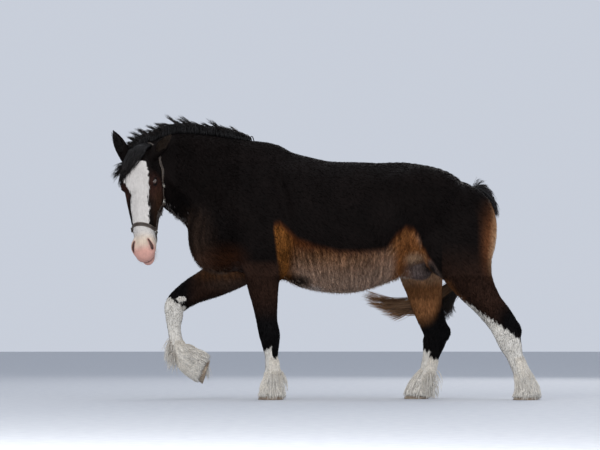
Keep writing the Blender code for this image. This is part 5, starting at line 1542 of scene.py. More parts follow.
# Sprays of strands about the tail: how many, root, bulge, places of their ends, two colours and widths.
GREY = np.array((0.030, 0.027, 0.029))
SPRAYS = {
    "ends": (260, (0.830, 0.356, 0.655), (0.0, 0, -0.012), [
        (0.455, 0.340, 0.742), (0.430, 0.345, 0.705), (0.452, 0.350, 0.672), (0.480, 0.350, 0.640),
        (0.540, 0.352, 0.612), (0.600, 0.354, 0.560), (0.660, 0.354, 0.535),
    ], ((0.060, 0.028, 0.013), np.array(GOLDEN) * 1.1), (0.0016, 0.0040)),
    "loose": (200, (1.110, 0.322, 0.790), (-0.030, 0, -0.020), [
        (0.900, 0.345, 0.560), (0.950, 0.342, 0.530), (1.000, 0.340, 0.525), (1.040, 0.335, 0.560),
        (1.075, 0.332, 0.605),
    ], (BLACK, (0.030, 0.018, 0.012)), (0.0018, 0.0042)),
    "tuft": (300, (1.170, 0.010, 1.425), (0.020, 0, 0.020), [
        (1.262, 0.000, 1.440), (1.300, 0.004, 1.390), (1.328, 0.010, 1.335), (1.345, 0.020, 1.275),
        (1.345, 0.030, 1.225),
    ], (GREY * 0.35, GREY * 1.2), (0.0022, 0.0050)),
    "wisps": (26, (1.175, 0.010, 1.440), (0.004, 0, 0.010), [
        (1.205, 0.010, 1.512), (1.240, -0.004, 1.498), (1.268, 0.0, 1.472),
    ], (GREY * 0.35, GREY), (0.0014, 0.0026)),
}


def build_tail():
    """A full tail from the dock round the right quarter, its last hairs golden brown."""
    hair = hair_material("tail_hair", 0.45)
    limb = Limb(TAIL_PATH, up=(0.6, 0.5, 0.6))
    last = len(limb.at) - 1
    points, faces = surface(lambda p: distance([(1, limb)], p) + DOCK_IN, DOCK_BOX, DOCK_CELL)
    core = add_mesh("tail_dock", points, faces, hair)
    give(core.data, "coat", np.tile(np.array(BLACK), (len(core.data.vertices), 1)))
    give(core.data, "shade", np.ones(len(core.data.vertices)))
    keep(core, "hair_black")
    draw = np.random.default_rng(SEEDS["tail"])
    count = int(2300 * SHARE)
    clumps = 42
    which = draw.integers(0, clumps, count)
    start = SPAN_STEPS * (0.6 + 7.0 * draw.random(count) ** 0.9)
    length = SPAN_STEPS * draw.uniform(2.4, 4.6, count)
    end = np.minimum(start + length, last - 0.01 - 4 * draw.random(count) ** 2)
    turn = draw.uniform(0, 2 * math.pi, clumps)[which] + draw.normal(0, 0.15, count)
    depth = np.sqrt(draw.random(clumps))[which] * draw.uniform(0.85, 1.08, count)
    stations = []
    for t in np.linspace(0, 1, 7):
        where = start + (end - start) * t
        middle, reach, up, side = limb.read(where)
        part = where / last
        grow = 0.55 + 0.45 * t + 1.1 * step_up(part, 0.55, 1.0)
        wave = 0.10 * np.sin(turn * 2 + 4.0 * part * math.pi)
        stations.append(
            middle
            + side * ((depth * np.sin(turn) * grow + wave) * reach[:, 2] * 1.15)[:, None]
            + up * ((depth * np.cos(turn) * grow) * np.maximum(reach[:, 0], 0.018) * 1.15)[:, None]
        )
    control = kept_above(np.stack(stations, axis=1), 0.006)
    control[:, :, 0] = np.minimum(control[:, :, 0], TAIL_LIMIT)
    paths = bend(control, 11)
    face = along_rows(limb.up, (start + end) / 2)
    dark = np.tile(np.array(BLACK) * 1.2, (count, 1))
    end = end / SPAN_STEPS
    root = paint(dark, (step_up(end, 7.5, 10.5) * 0.7, (0.050, 0.024, 0.012)))
    golden = 0.4 + 0.6 * draw.random(clumps)[which]
    tips = paint(dark, (step_up(end, 6.5, 10.0) * golden, GOLDEN))
    sheet = on_sheet(turn / (2 * math.pi) % 1.0, 0.02 + 0.96 * start / last)
    add_locks("tail", paths, face, draw.uniform(0.003, 0.0065, count), 0.003, hair, "hair_black", sheet,
              (root, tips), draw.uniform(0.7, 1.5, count), nodes=("tail_upper", "tail_lower"))
    for name, (most, at, way, ends, colours, wide) in SPRAYS.items():
        strand_fan("tail_" + name, hair, draw, int(most * SHARE), at, way, ends, colours, wide)


CREAM, SILK = (0.66, 0.60, 0.51), (0.84, 0.81, 0.75)   # a feather lock's root and tip
# The feather along each leg's end, down to the ground or round the raised hoof, in stations of a Limb.
FEATHER_FALLS = {
    "fore_left": [
        (-0.193, -0.131, 0.310, 0.029, 0.033, 0.028),
        (-0.191, -0.124, 0.210, 0.042, 0.052, 0.046),
        (-0.197, -0.116, 0.130, 0.052, 0.066, 0.060),
        (-0.194, -0.114, 0.060, 0.074, 0.084, 0.080),
        (-0.194, -0.114, 0.006, 0.092, 0.098, 0.096),
    ],
    "fore_right": [
        (-0.852, 0.180, 0.420, 0.032, 0.034, 0.030),
        (-0.834, 0.180, 0.335, 0.056, 0.074, 0.056),
        (-0.780, 0.180, 0.265, 0.076, 0.102, 0.078),
        (-0.715, 0.180, 0.225, 0.090, 0.108, 0.092),
        (-0.646, 0.180, 0.192, 0.098, 0.106, 0.100),
    ],
    "hind_left": [
        (1.448, -0.180, 0.310, 0.036, 0.036, 0.032),
        (1.474, -0.175, 0.210, 0.050, 0.058, 0.050),
        (1.500, -0.170, 0.130, 0.060, 0.074, 0.066),
        (1.518, -0.168, 0.060, 0.078, 0.092, 0.086),
        (1.520, -0.168, 0.006, 0.094, 0.104, 0.100),
    ],
    "hind_right": [
        (0.902, 0.162, 0.310, 0.036, 0.036, 0.032),
        (0.874, 0.160, 0.210, 0.048, 0.060, 0.050),
        (0.834, 0.160, 0.130, 0.060, 0.074, 0.066),
        (0.806, 0.160, 0.060, 0.078, 0.090, 0.086),
        (0.800, 0.160, 0.006, 0.094, 0.102, 0.100),
    ],
}


def build_wisps(name, hair, draw):
    """Longer loose hairs. On the raised foot they blow back from the fetlock and hang off the front."""
    raised = name == "fore_right"
    count = int((900 if raised else 160) * SHARE)
    tall = draw.random(count)
    if raised:
        back = np.arange(count) % 5 > 0
        def mixed(behind, before):
            return np.where(back[:, None], np.array(behind), np.array(before))

        root = mixed((-0.800, 0.180, 0.350), (-0.885, 0.180, 0.400))
        root = root + np.stack([0.05 * tall, 0 * tall, np.where(back, -0.085, -0.13) * tall], axis=1)
        root = root + draw.normal(0, 0.012, (count, 3)) * (1, 2.6, 1)
        root = on_skin(root, -0.003)
        away = mixed((0.075, 0, 0.012), (-0.028, 0, -0.020))
        drop = mixed((0.020, 0, -0.125), (-0.006, 0, -0.055))
        long = draw.uniform(0.7, 1.25, count)[:, None]
        fan = draw.normal(0, 0.016, (count, 3)) * (0.6, 1.4, 0.6)
        control = np.stack([
            root, root + 0.55 * away * long, root + (away + 0.22 * drop) * long + 0.5 * fan,
            root + (1.08 * away + 0.65 * drop) * long + fan, root + (1.05 * away + drop) * long + 1.3 * fan,
        ], axis=1)
    else:
        path = FEATHER_FALLS[name]
        at = np.array(path[1][:3]) * (1 - tall[:, None]) + np.array(path[3][:3]) * tall[:, None]
        turn = draw.uniform(-1.9, 1.9, count)
        way = np.stack([np.cos(turn), np.sin(turn), 0 * turn], axis=1)
        root = on_skin(at + way * 0.05, -0.003)
        long = draw.uniform(0.6, 1.2, count)[:, None]
        fall = np.array((0, 0, -0.075))
        control = np.stack([
            root, root + (0.026 * way + 0.2 * fall) * long, root + (0.044 * way + 0.6 * fall) * long,
            root + (0.052 * way + 1.05 * fall) * long, root + (0.050 * way + 1.45 * fall) * long,
        ], axis=1)
        control[:, :, 2] = np.maximum(control[:, :, 2], 0.004)
    control[:, 1:] = kept_above(control[:, 1:], 0.003)
    paths = bend(control, 8)
    root_colour = np.tile(np.array(CREAM) * 0.92, (count, 1))
    if raised:
        root_colour = paint(root_colour, (draw.random(count) ** 2, (0.30, 0.225, 0.165)))
    sheet = on_sheet(tall, 0.02 + 0.96 * draw.random(count))
    add_locks("wisps_" + name, paths, (0.3, -1.0, 0.1), draw.uniform(0.0025, 0.0055, count), 0.0022, hair,
              "coat_white", sheet, (root_colour, SILK), draw.uniform(0.85, 1.08, count))


def build_feather():
    """White silky hair from mid cannon down over each hoof, fullest at the back."""
    hair = hair_material("feather_hair", 0.6, 120, 0.25)
    for number, (name, path) in enumerate(FEATHER_FALLS.items()):
        draw = np.random.default_rng(SEEDS["feather"] + number)
        raised = name == "fore_right"
        limb = Limb(path, side=(0, 1, 0))
        last = len(limb.at) - 1
        count = int(3900 * SHARE)
        start = last * np.clip(0.01 + 0.64 * draw.random(count) + draw.normal(0, 0.03, count), 0, 0.68)
        length = last * draw.uniform(0.28, 0.56, count)
        angle = np.radians(180 + 178 * (2 * draw.random(count) - 1))
        behind = 0.5 - 0.5 * np.cos(angle)
        high = start < last * 0.25
        angle = np.where(high & (behind < 0.35), math.pi - 0.6 * (angle - math.pi), angle)
        end = np.minimum(start + length, last * draw.uniform(0.93, 0.999, count))
        twist = np.radians(draw.normal(0, 9, count))
        fullness = draw.uniform(0.80, 1.02, count) + 0.10 * (draw.random(count) ** 6)
        stations = []
        for t, out in ((0, 0.50), (0.22, 0.84), (0.48, 0.98), (0.75, 1.0), (1.0, 0.97)):
            where = start + (end - start) * t
            middle, reach, up, side = limb.read(where)
            a = angle + twist * t
            ahead = np.cos(a) * np.where(np.cos(a) > 0, reach[:, 0], reach[:, 1])
            far = out * (fullness if t else np.ones(count))
            aside = far * np.sin(a) * reach[:, 2]
            stations.append(middle + (far * ahead)[:, None] * up + aside[:, None] * side)
        control = np.stack(stations, axis=1)
        control[:, 1:] = kept_above(control[:, 1:], 0.003)
        if not raised:
            control[:, :, 2] = np.maximum(control[:, :, 2], 0.003 + 0.006 * draw.random(count)[:, None])
        control[:, 1:] += draw.normal(0, 0.0018, (count, 4, 3))
        paths = bend(control, 7)
        up, side = limb.read((start + end) / 2)[2:]
        face = np.cos(angle)[:, None] * up + np.sin(angle)[:, None] * side
        sheet = on_sheet(angle / (2 * math.pi) % 1.0, 0.02 + 0.96 * start / last)
        add_locks("feather_" + name, paths, face, draw.uniform(0.003, 0.007, count), 0.0026, hair,
                  "coat_white", sheet, (CREAM, SILK), draw.uniform(0.82, 1.10, count))
        build_wisps(name, hair, draw)
    return hair


# Fringes hang where the coat breaks the outline: a line along the body, hair length, count and colours.
FRINGES = {
    "jaw": (((-0.925, -0.300, 1.250), (-0.900, -0.200, 1.240), (-0.860, -0.120, 1.230),
             (-0.800, -0.060, 1.190)),
            0.028, 240, (0.060, 0.050, 0.044), (0.20, 0.18, 0.17)),
    "belly": (((-0.10, 0.0, 0.80), (0.20, 0.0, 0.76), (0.50, 0.0, 0.79), (0.75, 0.0, 0.86)),
              0.026, 900, (0.20, 0.14, 0.10), (0.46, 0.36, 0.29)),
    "breast": (((-0.72, -0.05, 1.10), (-0.70, -0.02, 1.00), (-0.64, 0.0, 0.93), (-0.52, 0.0, 0.90)),
               0.030, 800, (0.030, 0.016, 0.010), (0.13, 0.072, 0.043)),
}


def build_fringes(hair, draw):
    for name, (line, long, count, root_colour, tip_colour) in FRINGES.items():
        count = int(count * SHARE)
        rows = smooth_path(np.array(line), 6)
        t = draw.random(count)
        root = along_rows(rows, t * (len(rows) - 1)) + draw.normal(0, 1, (count, 3)) * (0.02, 0.06, 0.01)
        root = on_skin(root, -0.002, 6)
        ends = np.array((0.25, 0, -1.0)) + draw.normal(0, 0.22, (count, 3))
        ends = unit(ends) * (long * draw.uniform(0.6, 1.25, count))[:, None]
        hairs("fringe_" + name, root, ends, draw, draw.uniform(0.0018, 0.0034, count), hair, "coat_dark",
              (root_colour, tip_colour), (0, 1, 0.2), 4)


# Hair inside each ear: its colours at root and tip.
EAR_HAIR = {
    "left": ((0.012, 0.008, 0.006), (0.040, 0.024, 0.014)),
    "right": (BLACK, (0.012, 0.009, 0.008)),
}


def build_lashes(hair, draw):
    rows, ends = [], []
    for s in (1, -1):
        middle, gaze, along, across = eye_frame(s)
        for _ in range(int(46 * SHARE)):
            t = draw.uniform(-0.85, 0.85)
            lid = unit(0.85 * math.cos(t) * gaze + 0.9 * math.sin(t) * along + 0.42 * across)
            rows.append(middle + (EYE_RADIUS + LID) * lid)
            way = unit(0.9 * gaze + 0.45 * math.sin(t) * along - 0.12 * across)
            ends.append(way * draw.uniform(0.016, 0.026))
    hairs("lashes", np.array(rows), np.array(ends), draw, 0.0009, hair, "hair_black",
          (BLACK, BLACK), (0, 0, 1), 4)


def build_whiskers(hair, draw):
    count = int(130 * SHARE)
    t = draw.random((3, count))
    side = np.where(draw.random(count) > 0.5, 1, -1)
    root = head(0.655 + 0.085 * t[0], -0.045 - 0.060 * t[1], side * (0.025 + 0.045 * t[2]))
    way = 0.55 * DOWN + np.outer(side * 0.6, LEFT) - 0.35 * OUT + draw.normal(0, 0.25, (count, 3))
    hairs("whiskers", root, unit(way) * draw.uniform(0.018, 0.040, count)[:, None], draw,
          0.0008, hair, "coat_white", ((0.35, 0.27, 0.22), (0.62, 0.56, 0.50)), (0, 0, 1), 4)


def build_ear_hair(word, hair, draw):
    base, tip, opening = (np.array(place) for place in EARS[word])
    count = int(300 * SHARE)
    along = unit(tip - base)
    cup = unit(opening - np.dot(opening, along) * along)
    wide = np.cross(along, cup)
    t = draw.random(count)
    over = draw.uniform(-1, 1, count)
    long = np.linalg.norm(tip - base)
    width = np.interp(t, (0, 0.3, 0.7, 1), (0.030, 0.036, 0.030, 0.014))
    start = base + np.outer((0.12 + 0.72 * t) * long, along) + 0.008 * cup + np.outer(over * width, wide)
    way = 0.45 * along + 0.9 * cup - np.outer(0.35 * over, wide) + draw.normal(0, 0.18, (count, 3))
    control = np.stack([
        start, start + unit(way) * 0.012, start + unit(way + 0.7 * along) * 0.024,
        start + unit(way + 1.4 * along) * draw.uniform(0.026, 0.046, count)[:, None],
    ], axis=1)
    sheet = on_sheet(t, 0.02 + 0.96 * draw.random(count))
    add_locks("ear_hair_" + word, bend(control, 5), wide, 0.0022, 0.0014, hair, "hair_black", sheet,
              EAR_HAIR[word], draw.uniform(0.7, 1.3, count))


def build_fine_hair(hair, white_hair):
    """Lashes, whiskers, hair in the ears, and the fringes under jaw, breast and belly."""
    draw = np.random.default_rng(SEEDS["fine"])
    build_lashes(hair, draw)
    build_whiskers(white_hair, draw)
    for word in EARS:
        build_ear_hair(word, hair, draw)
    build_fringes(hair, draw)


# Hooves: the middle of the sole, the way out through it, and the way its toe points.
HOOVES = {
    "fore_left": ((-0.194, -0.114, 0.0), (0, 0, -1), (-1, -0.08, 0)),
    "fore_right": ((-0.640, 0.180, 0.185), (0.95, 0, -0.31), (-0.31, 0, -0.95)),
    "hind_left": ((1.520, -0.168, 0.0), (0, 0, -1), (-1, -0.10, 0)),
    "hind_right": ((0.800, 0.160, 0.0), (0, 0, -1), (-1, 0.10, 0)),
}
HOOF_HIGH = 0.088        # sole to coronet at the middle
HOOF_SLOPE = 0.30        # how much the coronet rises towards the toe
HOOF_BACK = 0.024        # how far the coronet sits behind the sole
AROUND_HOOF = 56
HOOF_RINGS = ((0.0, 0.090), (0.10, 0.091), (0.95, 0.067), (1.0, 0.064))
SOLE_RINGS = ((0.0, 0.080, 0.0), (0.0, 0.074, 0.006), (0.0, 0.045, 0.010))


def hoof_material():
    tree = Tree("hoof_horn", 0.42, Specular_IOR_Level=0.4)
    rings = tree.noise(60, 2, tree.mapped((0.35, 0.35, 2.4)))
    lines = tree.noise(220, 2, tree.mapped((1, 1, 0.08)))
    colour = tree.mix(tree.range(rings, 0.35, 0.65), (0.20, 0.145, 0.10), (0.36, 0.29, 0.21))
    colour = tree.scaled(colour, tree.range(lines, 0.3, 0.7, 0.8, 1.15))
    tree.link(colour, "Base Color")
    tree.link(tree.bump(tree.math("ADD", rings, tree.math("MULTIPLY", lines, 0.4)), 0.5, 0.002), "Normal")
    return tree.made


def hoof_ring(name, share, radius, lift=0.0):
    """A ring of points round a hoof, at a share of the way from its sole to its coronet."""
    middle, way, toe = HOOVES[name]
    up = -unit(way)
    toe = unit(np.array(toe) - np.dot(toe, up) * up)
    side = np.cross(up, toe)
    row = []
    for turn in 2 * math.pi * np.arange(AROUND_HOOF) / AROUND_HOOF:
        ahead = math.cos(turn) * radius
        if ahead < 0:
            ahead *= 0.88
        high = HOOF_HIGH * share + HOOF_SLOPE * share * ahead + lift
        aside = math.sin(turn) * radius * 0.98
        row.append(np.array(middle) + up * high + toe * (ahead - HOOF_BACK * share) + side * aside)
    return row


def build_hooves():
    """Each hoof with its growth rings and a hollow sole."""
    material = hoof_material()
    known = np.array(HOOF_RINGS)
    rings = 14
    for name in HOOVES:
        points = []
        for i in range(rings + 1):
            radius = np.interp(i / rings, known[:, 0], known[:, 1]) - 0.0015 + 0.0008 * math.sin(9.0 * i)
            points += hoof_ring(name, i / rings, radius)
        for share, radius, lift in ((1.0, 0.040, 0.004), *SOLE_RINGS):
            points += hoof_ring(name, share, radius, lift)
        start = [AROUND_HOOF * i for i in range(rings + 5)]
        faces = []
        for i in range(rings + 1):
            faces += strip(start[i], start[i + 1], AROUND_HOOF)
        faces.append(tuple(range(start[rings + 1], start[rings + 2])))
        order = [0, *start[rings + 2:]]
        for a, b in zip(order, order[1:]):
            faces += [face[1::-1] + face[:1:-1] for face in strip(a, b, AROUND_HOOF)]
        faces.append(tuple(range(order[-1], order[-1] + AROUND_HOOF))[::-1])
        keep(add_mesh("horn_" + name, points, faces, material), "hoof_horn", "hoof_" + name)


# Eyes.
PUPIL = (0.36, 0.17)   # its half width and half height, against the eyeball


def build_eyes():
    tree = Tree("eye_wet", 0.06, Specular_IOR_Level=0.6, Coat_Weight=1.0, Coat_Roughness=0.02)
    fibres = tree.noise(500, 3)
    brown = tree.mix(tree.range(fibres, 0.3, 0.7), (0.030, 0.012, 0.006), (0.085, 0.038, 0.016))
    colour = tree.mix(tree.range(tree.attribute("iris"), 0.45, 0.55), (0.050, 0.035, 0.030), brown)
    colour = tree.mix(tree.range(tree.attribute("pupil"), 0.45, 0.55), colour, (0.003, 0.003, 0.005))
    tree.link(colour, "Base Color")
    for name, side in (("left", 1), ("right", -1)):
        middle, gaze, along, across = eye_frame(side)
        around, rings = 40, 24
        points, faces = [], []
        for i in range(rings + 1):
            tilt = math.pi * i / rings
            bulge = 1 + 0.035 * max(0.0, 1 - (tilt / 0.75) ** 2)
            for turn in 2 * math.pi * np.arange(around) / around:
                flat = math.cos(turn) * along + math.sin(turn) * across
                way = math.cos(tilt) * gaze + math.sin(tilt) * flat
                points.append(middle + (EYE_RADIUS - 0.0012) * bulge * way)
        for i in range(rings):
            faces += strip(i * around, (i + 1) * around, around)
        made = add_mesh("eyeball_" + name, points, faces, tree.made)
        clean(made.data, MERGE / 10)
        way = unit(read_points(made.data)[0] - middle)
        a, b, c = way @ along, way @ across, way @ gaze
        slot = step_up((a / PUPIL[0]) ** 2 + (b / PUPIL[1]) ** 2, 0.9, 1.1)
        give(made.data, "iris", step_up(c, 0.66, 0.70))
        give(made.data, "pupil", (1 - slot) * (c > 0))
        keep(made, "eye_dark", "eye_" + name)


# Halter: leather straps lying on the head. Places are down and out.
RING_AT = (0.548, -0.045)        # where the cheek strap meets the noseband
RING_DROP = 0.011                # the noseband sits this much lower on the left than on the middle
TOP_RING_AT = (0.335, -0.118)    # where the cheek, crown and throat straps meet
BUCKLE_AT = (0.235, -0.101)      # on the left of the crown strap
BUCKLE_HALF = (0.014, 0.011)     # half its size across the strap and along it
RING_RADIUS, RING_WIRE = 0.017, 0.003
STRAP_THICK, STRAP_OVER = 0.0036, 0.0012   # and how far a strap lies over the skin
STRAP_STEP, STRAP_SLOPE = 0.006, 0.012     # along its path, and the reach that its slope is read over
# Straps: a ring's place, a place that it runs past, the roll of its slab, its width, and its rings.
STRAPS = {
    "noseband": (RING_AT, (0.511, 0.115), 0.16, 0.025, "ring"),
    "chin": (RING_AT, (0.630, -0.163), 0.16, 0.019, "ring"),
    "crown": (TOP_RING_AT, (-0.120, -0.037), 0.0, 0.018, "square"),
    "throat": (TOP_RING_AT, (0.460, -0.235), 0.0, 0.017, "square"),
}
CHEEK_WIDE = 0.017


def loop_path(start, end, roll, span=(2, 178), steps=90):
    """Where a strap runs: round the head in its own slab, on the skin.

    The slab holds the places start and end (down and out) and the head's left. The path goes from the
    start on the left, past the end, to the start on the right.
    """
    a, b = head(*start), head(*end)
    across = unit(LEFT + roll * DOWN)
    ahead = unit((b - a) - np.dot(b - a, across) * across)
    turn = np.radians(np.linspace(*span, steps))
    way = np.outer(np.cos(turn), across) + np.outer(np.sin(turn), ahead)
    reach = np.linspace(0.01, 0.60, 119)
    field = np.stack([head_field(a + way * r) for r in reach], axis=1)
    first = np.argmax(field > 0, axis=1)
    near, far = reach[np.maximum(first - 1, 0)], reach[first]
    for _ in range(12):
        half = (near + far) / 2
        out = head_field(a + way * half[:, None]) > 0
        far = np.where(out, half, far)
        near = np.where(out, near, half)
    return a + way * far[:, None]


def even(points, step):
    """A path with points at even steps, eased a little."""
    gap = np.linalg.norm(np.diff(points, axis=0), axis=1)
    run = np.concatenate([[0], np.cumsum(gap)])
    count = max(int(run[-1] / step), 6)
    where = np.linspace(0, run[-1], count)
    out = np.stack([np.interp(where, run, points[:, i]) for i in range(3)], axis=1)
    for _ in range(5):
        out[1:-1] = 0.25 * out[:-2] + 0.5 * out[1:-1] + 0.25 * out[2:]
    return out


def strap_mesh(name, path, outward, wide, thick, material, *nodes):
    """A flat band with rounded edges along a path. Its edges and its run are kept for the stitches."""
    along = unit(np.gradient(path, axis=0))
    out = unit(outward - (outward * along).sum(1, keepdims=True) * along)
    across = np.cross(along, out)
    edge = thick * 0.5
    half = wide / 2
    profile = [(-half, 0.0), (-half + 0.3 * edge, 0.7 * edge), (-half + edge, edge)]
    profile += [(x * (half - edge), edge) for x in (-0.62, -0.3, 0.0, 0.3, 0.62)]
    profile += [(half - edge, edge), (half - 0.3 * edge, 0.7 * edge), (half, 0.0)]
    profile += [(half - 0.3 * edge, -0.7 * edge), (half - edge, -edge)]
    profile += [(edge - half, -edge), (0.3 * edge - half, -0.7 * edge)]
    rows = len(profile)
    sideways, rise = np.array(profile).T
    swell = 1.0 + 0.35 * np.cos(math.pi * 0.5 * np.abs(sideways) / half)
    rise = rise * np.where(rise > 0.9 * edge, swell, 1.0)
    points = np.concatenate([
        p + np.outer(sideways, a) + np.outer(rise, o) for p, a, o in zip(path, across, out)
    ])
    faces = []
    for i in range(len(path) - 1):
        faces += strip(i * rows, (i + 1) * rows, rows)
    end = (len(path) - 1) * rows
    faces.append(tuple(range(rows))[::-1])
    faces.append(tuple(range(end, end + rows)))
    made = add_mesh(name, points, faces, material)
    run = np.concatenate([[0], np.cumsum(np.linalg.norm(np.diff(path, axis=0), axis=1))])
    give(made.data, "run", np.repeat(run, rows))
    give(made.data, "across", np.tile(sideways / half, len(path)))
    give(made.data, "upper", np.tile(np.where(rise > 0, 1.0, 0.0), len(path)))
    keep(made, "halter_leather", *nodes)


def leather_material():
    tree = Tree("halter_leather", 0.48, Specular_IOR_Level=0.4)
    grain = tree.add("ShaderNodeTexVoronoi", {"Vector": tree.place, "Scale": 900.0}).outputs[0]
    cloudy = tree.noise(60, 4)
    across = tree.math("ABSOLUTE", tree.attribute("across"))
    worn = tree.range(tree.math("ADD", across, tree.math("MULTIPLY_ADD", cloudy, 0.5, -0.25)), 0.80, 1.02)
    colour = tree.mix(tree.range(cloudy, 0.35, 0.7), (0.016, 0.010, 0.0075), (0.040, 0.026, 0.019))
    colour = tree.mix(tree.math("MULTIPLY", worn, 0.5), colour, (0.070, 0.046, 0.031))
    dash = tree.math("FRACT", tree.math("MULTIPLY", tree.attribute("run"), 200.0))
    on_dash = tree.math("MULTIPLY", tree.range(dash, 0.10, 0.22), tree.range(dash, 0.90, 0.78))
    line = tree.math("ABSOLUTE", tree.math("SUBTRACT", across, 0.66))
    on_line = tree.range(line, 0.060, 0.035)
    stitch = tree.math("MULTIPLY", tree.math("MULTIPLY", on_dash, on_line), tree.attribute("upper"))
    colour = tree.mix(stitch, colour, (0.30, 0.23, 0.15))
    groove = tree.math("MULTIPLY", tree.range(line, 0.085, 0.045), tree.attribute("upper"))
    tree.link(colour, "Base Color")
    height = tree.math("MULTIPLY_ADD", grain, 0.12, tree.math("MULTIPLY", stitch, 0.9))
    height = tree.math("SUBTRACT", height, tree.math("MULTIPLY", groove, 0.6))
    tree.link(tree.bump(height, 0.7, 0.0008), "Normal")
    tree.link(tree.range(cloudy, 0.3, 0.7, 0.38, 0.58), "Roughness")
    return tree.made


def metal_material():
    tree = Tree("halter_metal", 0.25, Metallic=1.0)
    dull = tree.noise(90, 4)
    fine = tree.noise(700, 2, tree.mapped((1, 1, 0.15)))
    colour = tree.mix(tree.range(dull, 0.35, 0.7), (0.62, 0.60, 0.55), (0.40, 0.36, 0.29))
    tree.link(tree.scaled(colour, tree.range(fine, 0.3, 0.7, 0.9, 1.08)), "Base Color")
    tree.link(tree.range(dull, 0.3, 0.7, 0.18, 0.42), "Roughness")
    tree.link(tree.bump(fine, 0.3, 0.0002), "Normal")
    return tree.made


def wire(name, path, radius, material, closed, around, *nodes):
    """A round wire along a path."""
    rows = len(path)
    if closed:
        along = unit(np.roll(path, -1, axis=0) - np.roll(path, 1, axis=0))
    else:
        along = unit(np.gradient(path, axis=0))
    flat = unit(np.cross(path[rows // 3] - path[0], path[2 * rows // 3] - path[0]))
    across = unit(np.cross(along, flat))
    up = np.cross(across, along)
    turn = np.linspace(0, 2 * math.pi, around, endpoint=False)
    points = np.concatenate([
        p + radius * (np.outer(np.cos(turn), a) + np.outer(np.sin(turn), u))
        for p, a, u in zip(path, across, up)
    ])
    faces = []
    for i in range(rows if closed else rows - 1):
        m = (i + 1) % rows
        for j in range(around):
            k = (j + 1) % around
            faces.append((i * around + j, m * around + j, m * around + k, i * around + k))
    if not closed:
        faces.append(tuple(range(around)))
        faces.append(tuple(range((rows - 1) * around, rows * around))[::-1])
    keep(add_mesh(name, points, faces, material), "halter_metal", *nodes)


def ring_seat(place, side, lift):
    """Where a ring's middle lies over the skin, and the way straight out of the skin there."""
    drop = RING_DROP * side if place is RING_AT else 0.0
    at = head(place[0] + drop, place[1], side * 0.10)
    over = on_skin(np.array([at]), lift, 6)[0]
    return over, slope_of(np.array([over]), skin_field, 0.02)[0]


def round_wire(path, outward, seat, first):
    """A strap's path bent round the wire of a ring at one of its ends: over it, and back underneath."""
    middle, axis = seat
    row = path if first else path[::-1]
    away = np.linalg.norm(row - middle, axis=1)
    keep_from = int(np.argmax(away > RING_RADIUS + 0.020))
    row, out = row[keep_from:], (outward if first else outward[::-1])[keep_from:]
    to = row[0] - middle
    to = unit(to - np.dot(to, axis) * axis)
    centre = middle + to * RING_RADIUS
    gap = RING_WIRE + 0.0022
    turn = np.radians(np.linspace(-90, -270, 9))
    bend_of = centre + gap * (np.outer(np.cos(turn), to) + np.outer(np.sin(turn), axis))
    facing = np.outer(np.cos(turn), to) + np.outer(np.sin(turn), axis)
    tail = centre + to * 0.018 - axis * (gap - 0.0006)
    row = np.concatenate([[tail], bend_of, row])
    out = np.concatenate([[-axis], facing, out])
    return (row, out) if first else (row[::-1], out[::-1])


def build_buckle(path, leather, metal):
    """A buckle on the left of the crown strap, with its tongue and two keepers."""
    near = np.argmin(np.linalg.norm(path - head(*BUCKLE_AT, 0.12), axis=1))
    out = slope_of(path, head_field, STRAP_SLOPE)
    middle, axis = path[near] + out[near] * (STRAP_THICK + 0.0032), out[near]
    along = unit(path[near + 1] - path[near - 1])
    side = np.cross(axis, along)
    wide, tall = BUCKLE_HALF
    corner = [(-wide, -tall), (wide, -tall), (wide, tall), (-wide, tall)]
    rim = []
    for i, (x, y) in enumerate(corner):
        u, v = corner[(i + 1) % 4]
        for t in (0.12, 0.3, 0.5, 0.7, 0.88):
            rim.append(middle + side * (x + (u - x) * t) + along * (y + (v - y) * t))
    wire("metal_buckle", np.array(rim), 0.0019, metal, True, 10, "halter_buckle")
    steps = ((-0.012, -0.001), (-0.004, 0.0016), (0.005, 0.0022), (0.0135, 0.0012))
    tongue = smooth_path([middle + along * far + axis * high for far, high in steps], 4)
    tongue += side * 0.0001 * np.sin(np.arange(len(tongue)))[:, None]
    wire("metal_tongue", tongue, 0.0013, metal, False, 8)
    for letter, step in (("a", -5), ("b", 5)):
        at = near + step
        way = unit(path[at + 1] - path[at - 1])
        over = np.cross(out[at], way)
        arch = ((-0.0105, 0.0), (-0.0100, 0.0052), (0.0, 0.0062), (0.0100, 0.0052), (0.0105, 0.0))
        loop = even(np.array([path[at] + over * x + out[at] * y for x, y in arch]), 0.0016)
        strap_mesh("keeper_" + letter, loop, np.tile(out[at], (len(loop), 1)), 0.007, 0.002, leather)


